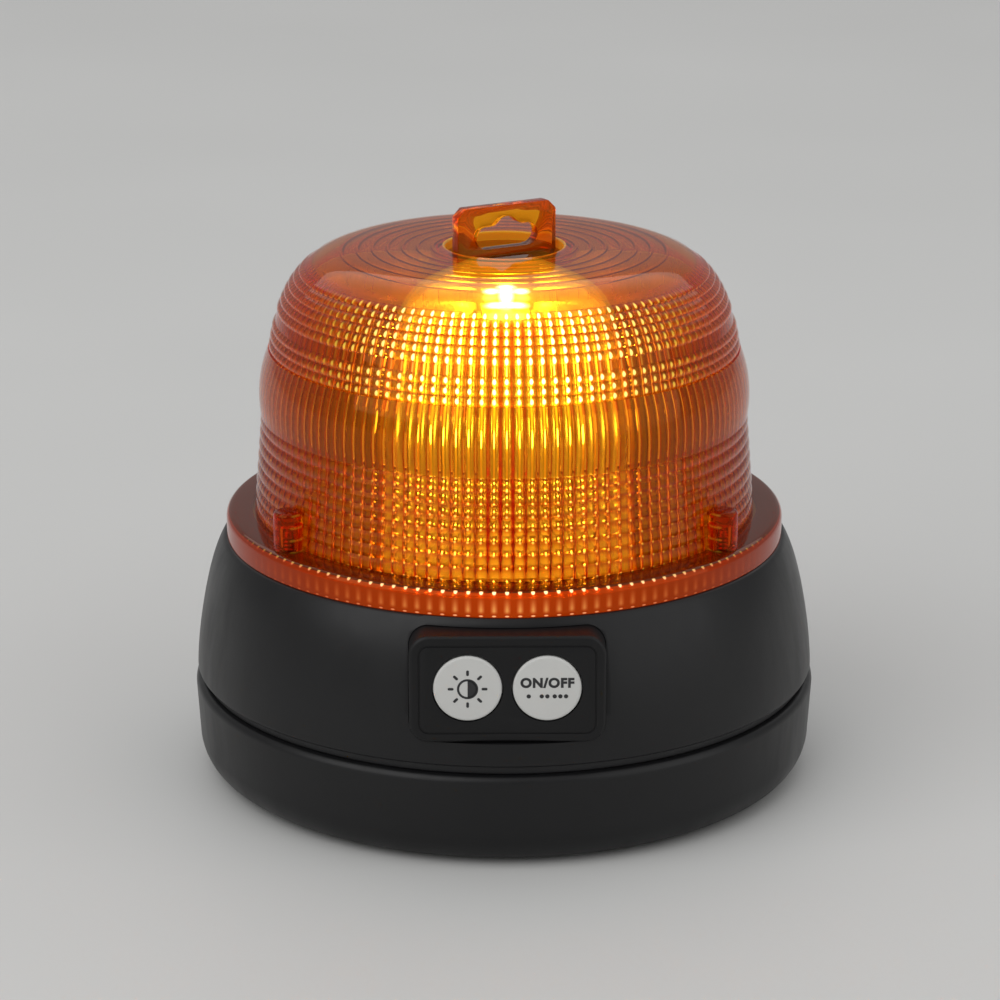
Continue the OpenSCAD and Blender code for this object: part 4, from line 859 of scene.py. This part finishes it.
def looks():
    # Name, colour, roughness, the grain's scale and depth, how much the shade varies, and the bump's strength
    for values in (
            ("printed_ink", (0.018, 0.018, 0.020), 0.55, 2400, 0.01, 0.12, 0.3),
            ("button_white", (0.60, 0.60, 0.58), 0.46, 1300, 0.02, 0.03, 0.22),
            ("foot_rubber", (0.020, 0.020, 0.021), 0.72, 800, 0.06, 0.2, 0.45),
            ("seal_rubber", (0.008, 0.008, 0.009), 0.6, 900, 0.04, 0.2, 0.4),
            ("plug_rubber", (0.016, 0.016, 0.017), 0.62, 900, 0.05, 0.2, 0.4),
            ("plate_white", (0.72, 0.72, 0.70), 0.4, 900, 0.02, 0.03, 0.2),
            ("chip_black", (0.016, 0.016, 0.018), 0.45, 1600, 0.02, 0.2, 0.3),
            ("plunger_red", (0.42, 0.035, 0.02), 0.38, 1300, 0.02, 0.1, 0.2),
            ("holder_black", (0.022, 0.022, 0.024), 0.5, 1000, 0.04, 0.18, 0.35),
            ("connector_white", (0.66, 0.63, 0.54), 0.42, 1200, 0.02, 0.05, 0.2),
            ("wire_red", (0.38, 0.02, 0.012), 0.4, 1000, 0.02, 0.08, 0.15),
            ("wire_grey", (0.20, 0.21, 0.22), 0.42, 1000, 0.02, 0.08, 0.15),
            ("capacitor_sleeve", (0.035, 0.055, 0.20), 0.32, 1200, 0.02, 0.08, 0.15)):
        moulded(*values)
    moulded("satin_black", (0.0060, 0.0060, 0.0066), 0.36, 1500, 0.02, 0.15, 0.20, Specular_IOR_Level=0.32)
    moulded("panel_black", (0.0055, 0.0055, 0.0060), 0.44, 1100, 0.03, 0.15, 0.30, Specular_IOR_Level=0.28)
    # Name, colour, roughness, how the drawing lines are stretched, and their scale
    for values in (
            ("magnet_nickel", (0.62, 0.60, 0.57), 0.24, (1, 1, 1), 300),
            ("screw_steel", (0.56, 0.56, 0.57), 0.28, (1, 1, 12), 400),
            ("socket_steel", (0.66, 0.66, 0.66), 0.22, (1, 10, 1), 500),
            ("contact_brass", (0.78, 0.62, 0.32), 0.3, (1, 20, 1), 400),
            ("tower_aluminium", (0.74, 0.74, 0.75), 0.36, (20, 20, 1), 300),
            ("reflector_mirror", (0.88, 0.87, 0.84), 0.30, (8, 8, 1), 120)):
        metal(*values)
    strip_look()
    board_look()
    cell_look()
    for level, strength in CHIP_LIGHT.items():
        phosphor("chip_" + level, strength)
    # Both amber parts get a painted glow through their depth: 6 in the lens and 18 in the tab
    amber("lens_amber", (0.98, 0.44, 0.05), 200.0, 6.0, lens_surface)
    amber("tab_amber", (0.97, 0.42, 0.04), 210.0, 18.0, tab_surface)


# ------ CAD solids taken further

def tidy_copy(node):
    """A copy of a CAD node's mesh with its triangles merged back into whole faces."""
    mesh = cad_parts[node].data.copy()
    with editing(mesh) as bm:
        bmesh.ops.remove_doubles(bm, verts=bm.verts, dist=0.002 * MM)
        bmesh.ops.dissolve_limit(bm, angle_limit=radians(1), verts=bm.verts, edges=bm.edges)
    return mesh


def refined(node, look, width, body="housing"):
    """The node's own shape with its edges rounded."""
    piece(node + "_finished", bevelled(tidy_copy(node), width), look, node, body)


def solids(node):
    """The lowest and highest corner of each separate solid in a node, in metres."""
    bm = bmesh.new()
    bm.from_mesh(tidy_copy(node))
    left, boxes = set(bm.verts), []
    while left:
        group, edge = set(), [left.pop()]
        while edge:
            v = edge.pop()
            group.add(v)
            fresh = {e.other_vert(v) for e in v.link_edges} & left
            left -= fresh
            edge += fresh
        boxes.append([Vector(pick(v.co[i] for v in group) for i in range(3)) for pick in (min, max)])
    bm.free()
    return sorted(boxes, key=lambda box: tuple(round(c, 5) for c in box[0]))


def placed(mesh, matrices):
    """Copies of a mesh at several places, as one mesh."""
    copies = [mesh.copy() for _ in matrices]
    for copy, matrix in zip(copies, matrices):
        copy.transform(matrix)
    return joined(copies)


# ------ screws

THREAD_PITCH = 0.9
DOWN, UP, BACK = (0, 0, -1), (0, 0, 1), (0, 1, 0)
SMALL_SCREW = (1.1, 2, 1.5)
# Each node's shank radius, head radius and head height, and the side that its heads face
SCREWS = {"magnet_screws": (1.9, 3.8, 0, DOWN), "base_screws": (1.9, 3.6, 2.4, DOWN),
          "lens_screws": (1.4, 2.8, 1.5, DOWN), "control_board_screws": (*SMALL_SCREW, DOWN),
          "tower_screws": (*SMALL_SCREW, UP), "holder_screws": (*SMALL_SCREW, UP),
          "socket_board_screws": (*SMALL_SCREW, UP), "switch_board_screws": (*SMALL_SCREW, BACK)}


def screw_mesh(r, length, head_r, head_h):
    """A screw that points down, with its head's seat at z = 0, a cross recess and a rolled thread. A head
    with no height is countersunk."""
    if head_h:
        profile = [(0, head_h)] + arc(0, head_h * 0.45, head_r, head_h * 0.55, 75, 0, 5)
        profile += [(head_r, 0), (r, 0)]
        start, top = 0.0, head_h
    else:
        start, top = r - head_r, 0.0
        profile = [(0, 0), (head_r - 0.1, 0), (head_r, -0.1), (r, start)]
    for i in range(int((length + start - 1.6) / THREAD_PITCH)):
        z = start - 0.4 - i * THREAD_PITCH
        profile += [(r, z), (r * 0.8, z - THREAD_PITCH * 0.45), (r, z - THREAD_PITCH * 0.9)]
    profile += [(r * 0.75, -length + 0.5), (r * 0.3, -length), (0, -length)]
    # The blades of the cross narrow downwards: height, and the share of their width and thickness there
    levels = ((top + 0.3, 1.0, 1.0), (top - head_r * 0.7, 0.35, 0.75))
    verts = [(sx * head_r * 0.575 * share_w, sy * head_r * 0.13 * share_t, z)
             for z, share_w, share_t in levels for sx, sy in ((-1, -1), (1, -1), (1, 1), (-1, 1))]
    faces = [(3, 2, 1, 0), (4, 5, 6, 7), (0, 1, 5, 4), (1, 2, 6, 5), (2, 3, 7, 6), (3, 0, 4, 7)]
    return cut(revolve(profile[::-1], 32), [solid(verts, faces, turned(angle)) for angle in (0, 90)])


def screws(node, r, head_r, head_h, head_side):
    """Finished screws in a node's places. head_side is the direction that the heads face."""
    axis = max(range(3), key=lambda k: abs(head_side[k]))
    tilt = Vector((0, 0, 1)).rotation_difference(Vector(head_side)).to_matrix().to_4x4()
    matrices = []
    for i, (lo, hi) in enumerate(solids(node)):
        length = (hi[axis] - lo[axis]) / MM - head_h
        seat = (lo + hi) / 2
        seat[axis] = hi[axis] - head_h * MM if head_side[axis] > 0 else lo[axis] + head_h * MM
        # Each is left at an angle of its own
        matrices.append(Matrix.Translation(seat) @ tilt @ turned(20 + 37 * i))
    piece(node + "_finished", placed(screw_mesh(r, length, head_r, head_h), matrices), "screw_steel", node)


# ------ underside

def underside():
    lo, hi, top = FOOT_IN_R, FOOT_OUT_R, FOOT_TOP
    outline = [(lo + 0.4, 0), (lo + 1.4, 0), (lo + 1.7, 0.25), (lo + 2.3, 0.25), (lo + 2.6, 0), (hi - 0.4, 0),
               (hi - 0.1, 0.15), (hi, 0.45), (hi, top), (lo, top), (lo, 0.45), (lo + 0.1, 0.15)]
    piece("foot_ring_moulded", revolve(outline, 288), "foot_rubber", "foot_ring")
    bottom, top = low("magnets"), high("magnets")
    r, edge, hole, sink = 15, 0.35, 2.2, 4.15
    outline = [(sink, bottom), (r - edge, bottom), (r, bottom + edge), (r, top - edge), (r - edge, top),
               (hole, top), (hole, bottom + sink - hole)]
    piece("ring_magnets", placed(revolve(outline, 96), MAGNETS), "magnet_nickel", "magnets")


# ------ panel and buttons

BUTTON_R, BUTTON_UP, BUTTON_BACK, BUTTON_TOP = 7.6, 0.4, -high("button_left", "y"), -low("button_left", "y")
BUTTON_XS = (-8.8, 8.8)
PANEL_BACK = -high("control_panel", "y")
PANEL_W, PANEL_H, PANEL_ROUND, PANEL_WALL, PANEL_FACE_T = 43.7, 25, 4.5, 1.8, 2.4
INK_T = 0.05


def pillow(w, h, r, back, front, edge, back_edge=0.0):
    """A rounded slab whose front edge, and its back edge if asked, is rolled over. Local z points out."""
    layers = [(back, back_edge), (back + back_edge, 0.0)] if back_edge else [(back, 0.0)]
    layers += [(z, edge - x) for x, z in arc(0, front - edge, edge, edge, 0, 90, 5)]
    verts = [(x, y, z) for z, inset in layers for x, y in slab(w - 2 * inset, h - 2 * inset, r - inset)]
    n = len(verts) // len(layers)
    faces = [(k + i, k + (i + 1) % n, k + n + (i + 1) % n, k + n + i)
             for k in range(0, len(verts) - n, n) for i in range(n)]
    return solid(verts, faces + [range(n)[::-1], range(len(verts) - n, len(verts))])


def panel_slab(inset, z0, z1):
    return prism(slab(PANEL_W - 2 * inset, PANEL_H - 2 * inset, PANEL_ROUND - inset), z0, z1)


def panel_mesh():
    sleeve = pillow(PANEL_W, PANEL_H, PANEL_ROUND, PANEL_BACK, PANEL_FRONT, 0.9)
    holes = [panel_slab(PANEL_WALL, PANEL_BACK - 1, PANEL_FRONT - PANEL_FACE_T)]
    holes += [prism(circle(x, BUTTON_UP, BUTTON_R + 0.3, 96), PANEL_FRONT - 4, PANEL_FRONT + 1)
              for x in BUTTON_XS]
    # A fine border groove frames the pair of buttons
    inset, line = 2.1, 0.35
    holes.append(cut(panel_slab(inset, PANEL_FRONT - 0.25, PANEL_FRONT + 1),
                     [panel_slab(inset + line, PANEL_FRONT - 1, PANEL_FRONT + 2)]))
    return joined([bevelled(cut(sleeve, holes), 0.2, 50)], FRONT_AT_PANEL)


def cap_mesh(x):
    """A button's cap with its flange and stem."""
    edge, back, stem, flange = 0.6, PANEL_FRONT - 2.5, 2, 8.5
    profile = [(0, BUTTON_BACK), (stem, BUTTON_BACK), (stem, back - 1), (flange, back - 1), (flange, back),
               (BUTTON_R, back)]
    profile += arc(BUTTON_R - edge, BUTTON_TOP - edge, edge, edge, 0, 90, 6) + [(0, BUTTON_TOP)]
    return revolve(profile, 96, FRONT_AT_PANEL @ shift(x, BUTTON_UP))


def printed(name, side, up, meshes, sharp=40):
    """A print on the left or right button, at a height over its middle."""
    place = FRONT_AT_PANEL @ shift(BUTTON_XS[side == "right"], BUTTON_UP + up, BUTTON_TOP - 0.01)
    piece(name, joined(meshes, place), "printed_ink", body="button_" + side, sharp=sharp)


def light_symbol():
    """A plain sun with one half filled: a generic mark for a light sensor's button."""
    ring = cut(peg(2.35, 0, INK_T), [peg(1.85, -1, 1)])
    half = prism(arc(0, 0, 2, 2, -90, 90, 20), 0, INK_T)
    rays = [prism(slab(0.6, 1.3, 0.28, 6), 0, INK_T, turned(45 * k) @ shift(0, 3.75)) for k in range(8)]
    printed("light_mark", "left", 0, [ring, half] + rays)


def on_off_words():
    """ON/OFF over three groups of dots, one for each flash pattern."""
    curve = bpy.data.curves.new("on_off_print", "FONT")
    curve.body = "ON/OFF"
    curve.size, curve.extrude, curve.offset = 3.0 * MM, INK_T / 2 * MM, 0.15 * MM
    curve.space_character = 1.12
    curve.align_x, curve.align_y = "CENTER", "CENTER"
    text = add_object("on_off_text", curve)
    bpy.context.view_layer.update()
    mesh = welded(evaluated(text))
    bpy.data.objects.remove(text)
    mesh.transform(shift(z=INK_T / 2))
    printed("on_off_print", "right", 1.3, [mesh], 30)
    dots = [prism(circle((group - 2) * 3.5 + (k - (group - 1) / 2) * 1.25 - 0.6, 0, 0.48, 24), 0, INK_T)
            for group in (1, 2, 3) for k in range(group)]
    printed("mode_dots", "right", -1.75, dots)


def controls():
    piece("panel_moulded", panel_mesh(), "panel_black", "control_panel")
    for side, x in zip(("left", "right"), BUTTON_XS):
        button = "button_" + side
        piece("cap_" + side, cap_mesh(x), "button_white", button, button)
        refined("plunger_" + side, "plunger_red", 0.2, button)
    light_symbol()
    on_off_words()


# ------ charging port

HINGE_DOWN, HINGE_OUT, STRAP_W = 6.35, PORT_FLOOR + 1, 6


def plug_mesh():
    back, front = PORT_FLOOR + 0.1, PORT_FLOOR + 2.4
    lid = pillow(16, 9.5, 3, back, front, 0.6, 0.25)
    dents = [prism(slab(9, 1.1, 0.54), front - 0.35, front + 1, shift(0, 3))]
    dents += [prism(slab(11, 0.5, 0.24), front - 0.25, front + 1, shift(0, -0.2 - 1.3 * i)) for i in range(3)]
    insert = pillow(10.2, 4.5, 2.15, PORT_FLOOR - 1.9, back + 0.2, 0.02, 0.4)
    x = STRAP_W / 2
    neck = prism([(-x, -HINGE_DOWN), (x, -HINGE_DOWN), (x, -4), (-x, -4)], HINGE_OUT - 0.7, HINGE_OUT + 0.7)
    roll = peg(0.8, -x, x, shift(0, -HINGE_DOWN, HINGE_OUT) @ turned(90, "Y"), 24)
    return joined([bevelled(cut(cut(lid, dents), [insert, neck, roll], "UNION"), 0.12, 45)], BACK_AT_PORT)


def port():
    piece("port_plug_moulded", plug_mesh(), "plug_rubber", "port_plug", "port_plug")
    strap = prism(slab(STRAP_W, 4.6, 0.5), PORT_FLOOR, PORT_FLOOR + 1.4, shift(0, -STUD_DOWN))
    inner = PORT_FLOOR - 7.3
    stud = peg(1.5, inner, PORT_FLOOR + 0.5, y=-STUD_DOWN)
    knob = peg(2.3, inner, inner + 1.6, y=-STUD_DOWN)
    mesh = joined([bevelled(cut(strap, [stud, knob], "UNION"), 0.25, 45)], BACK_AT_PORT)
    piece("port_strap_moulded", mesh, "plug_rubber", "port_strap")


# ------ light tower

PLATE_Z, TOWER_TOP = high("light_plate"), high("light_tower")
FOOT_Z = PLATE_Z + 2.5
TOWER_FLAT = 12
STRIP_T, STRIP_W, CHIP_W, CHIPS = 1.2, 11, 5, 4


def tower_mesh():
    """The six-sided extrusion with a groove down each corner, a wire bore and a round screwed foot."""
    outline = []
    for corner in range(0, 360, 60):
        for d, share in ((-9, 1.0), (-3, 1.0), (-1.6, 0.95), (1.6, 0.95), (3, 1.0), (9, 1.0)):
            r = TOWER_FLAT / cos(radians(30 - abs(d))) * share
            t = radians(corner + d)
            outline.append((r * cos(t), r * sin(t)))
    foot_r, edge = 19, 0.4
    foot = revolve([(0, PLATE_Z), (foot_r, PLATE_Z), (foot_r, FOOT_Z - edge), (foot_r - edge, FOOT_Z),
                    (0, FOOT_Z)], 96)
    holes = [peg(4.5, PLATE_Z - 1, TOWER_TOP + 1)]
    holes += [peg(1.4, PLATE_Z - 1, FOOT_Z + 1, m, 24) for m in TOWER_SCREWS]
    return cut(cut(prism(outline, PLATE_Z, TOWER_TOP), [foot], "UNION"), holes)


def chip_meshes(at):
    """A light chip's white cup and the gel in it. Local z points out from the strip's face."""
    box = prism(slab(CHIP_W, CHIP_W, 0.4, 3), 0, 0.95, at)
    gel = [(0, 0.5), (2.05, 0.5)] + arc(0, 0.85, 2.05, 0.55, 0, 90, 6)[:-1] + [(0, 1.4)]
    return cut(box, [peg(2.1, 0.45, 2, at, 32)]), revolve(gel, 32, at)


def chip_level(side, i):
    """How brightly the chip numbered i from the bottom of a side is lit. Side 0 faces the front."""
    if side == 0:
        return ("low", "low", "lit", "bright")[i]
    return "side" if side in (1, 5) and i == CHIPS - 1 else "dim"


def strips():
    z0, z1 = low("light_strips"), high("light_strips")
    face = TOWER_FLAT + STRIP_T
    heights = between(low("light_chips") + CHIP_W / 2, high("light_chips") - CHIP_W / 2, CHIPS - 1)
    boards, pads, cups = [], [], []
    gels = {level: [] for level in CHIP_LIGHT}
    for side in range(6):
        out = turned(60 * side) @ FACING_FRONT
        x = STRIP_W / 2
        boards.append(prism([(-x, z0), (x, z0), (x, z1), (-x, z1)], TOWER_FLAT, face, out))
        pads += [prism(slab(1.8, 1.2, 0.3, 4), face, face + 0.06, out @ shift(sx * 3.8, z))
                 for sx in (-1, 1) for z in (z0 + 1.2, z1 - 1.2)]
        for i, z in enumerate(heights):
            cup, gel = chip_meshes(out @ shift(0, z, face))
            cups.append(cup)
            gels[chip_level(side, i)].append(gel)
        # A resistor between each two chips
        pads += [prism(slab(2, 1.2, 0.15, 2), face, face + 0.5, out @ shift(3.2, (a + b) / 2))
                 for a, b in zip(heights, heights[1:])]
    piece("strip_boards", bevelled(joined(boards), 0.12), "strip_white", "light_strips")
    piece("strip_pads", joined(pads), "screw_steel")
    piece("chip_cups", joined(cups), "strip_white", "light_chips")
    for level, meshes in gels.items():
        piece("chips_" + level, joined(meshes), "chip_" + level)


# ------ hang tab

TAB_TURN = 28
TAB_W, TAB_T, TAB_FOOT_T, TAB_CORNER, TAB_SOFT = 26, 3, 1.4, 1.9, 0.5
HOLE_W, HOLE_H, NOTCH_R, NOTCH_UP, HOLE_BAR, HOLE_BLEND = 16.2, 5.3, 2.8, 1.9, 1.7, 1.6


def hole_distance(x, y):
    """How far a point lies outside a slot with a round notch on top, blended where they meet."""
    slot = hypot(max(abs(x) - (HOLE_W - HOLE_H) / 2, 0), y) - HOLE_H / 2
    notch = hypot(x, y - NOTCH_UP) - NOTCH_R
    near = max(HOLE_BLEND - abs(slot - notch), 0) / HOLE_BLEND
    return min(slot, notch) - near * near * HOLE_BLEND / 4


def hole_outline():
    points = []
    for t in around(96):
        inner, outer = 0.0, HOLE_W
        for _ in range(30):
            r = (inner + outer) / 2
            if hole_distance(r * cos(t), r * sin(t)) < 0:
                inner = r
            else:
                outer = r
        points.append((inner * cos(t), inner * sin(t)))
    return points


def tab_mesh():
    foot_top, foot_r = WELL_Z + TAB_FOOT_T, WELL_R - 0.3
    x, top, corner, soft = TAB_W / 2, high("hang_tab") - foot_top, TAB_CORNER, TAB_SOFT
    outline = [(-x, -0.3), (x, -0.3), (x, top - corner - soft), (x - soft * 0.2, top - corner),
               (x - corner, top - soft * 0.2), (x - corner - soft, top)]
    outline += [(-px, py) for px, py in outline[:1:-1]]
    plate = prism(outline, -TAB_T / 2, TAB_T / 2, shift(z=foot_top) @ FACING_FRONT)
    hole = prism(hole_outline(), -TAB_T, TAB_T, shift(z=foot_top + HOLE_BAR + HOLE_H / 2) @ FACING_FRONT)
    foot = revolve([(0, WELL_Z), (foot_r, WELL_Z), (foot_r, foot_top), (0, foot_top)], 96)
    return joined([bevelled(cut(cut(plate, [hole]), [foot], "UNION"), 0.22)], turned(TAB_TURN))


# ------ everything, then the studio

# CAD solids that only get rounded edges: their look and how wide their edges are
REFINED = {"light_plate": ("plate_white", 0.3), "reflector": ("reflector_mirror", 0.2),
           "housing_seal": ("seal_rubber", 0.3), "lens_gasket": ("seal_rubber", 0.2),
           "switches": ("chip_black", 0.25), "switch_board": ("board_green", 0.1),
           "battery_holder": ("holder_black", 0.25), "battery_cells": ("cell_wrap", 0.5),
           "battery_contacts": ("contact_brass", 0.1), "control_board": ("board_green", 0.1),
           "board_chips": ("chip_black", 0.15), "board_coil": ("chip_black", 0.8),
           "board_capacitors": ("capacitor_sleeve", 0.5), "wire_connectors": ("connector_white", 0.25),
           "charge_socket": ("socket_steel", 0.08), "socket_board": ("board_green", 0.1)}
WIRES = {"battery_leads": "wire_red", "switch_harness": "wire_grey", "charge_harness": "wire_grey",
         "light_harness": "wire_grey"}


def build():
    looks()
    piece("lower_housing_shell", lower_housing_mesh(), "satin_black", "lower_housing")
    piece("upper_housing_shell", upper_housing_mesh(), "satin_black", "upper_housing")
    underside()
    for node, sizes in SCREWS.items():
        screws(node, *sizes)
    controls()
    port()
    piece("tower_extrusion", tower_mesh(), "tower_aluminium", "light_tower")
    strips()
    for node, (look, width) in REFINED.items():
        refined(node, look, width)
    for node, look in WIRES.items():
        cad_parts[node].data.materials[0] = LOOKS[look]
    piece("lens_shell", lens_with_posts(), "lens_amber", "lens", sharp=30)
    piece("hang_tab_moulded", tab_mesh(), "tab_amber", "hang_tab")


studio()
camera()
build()
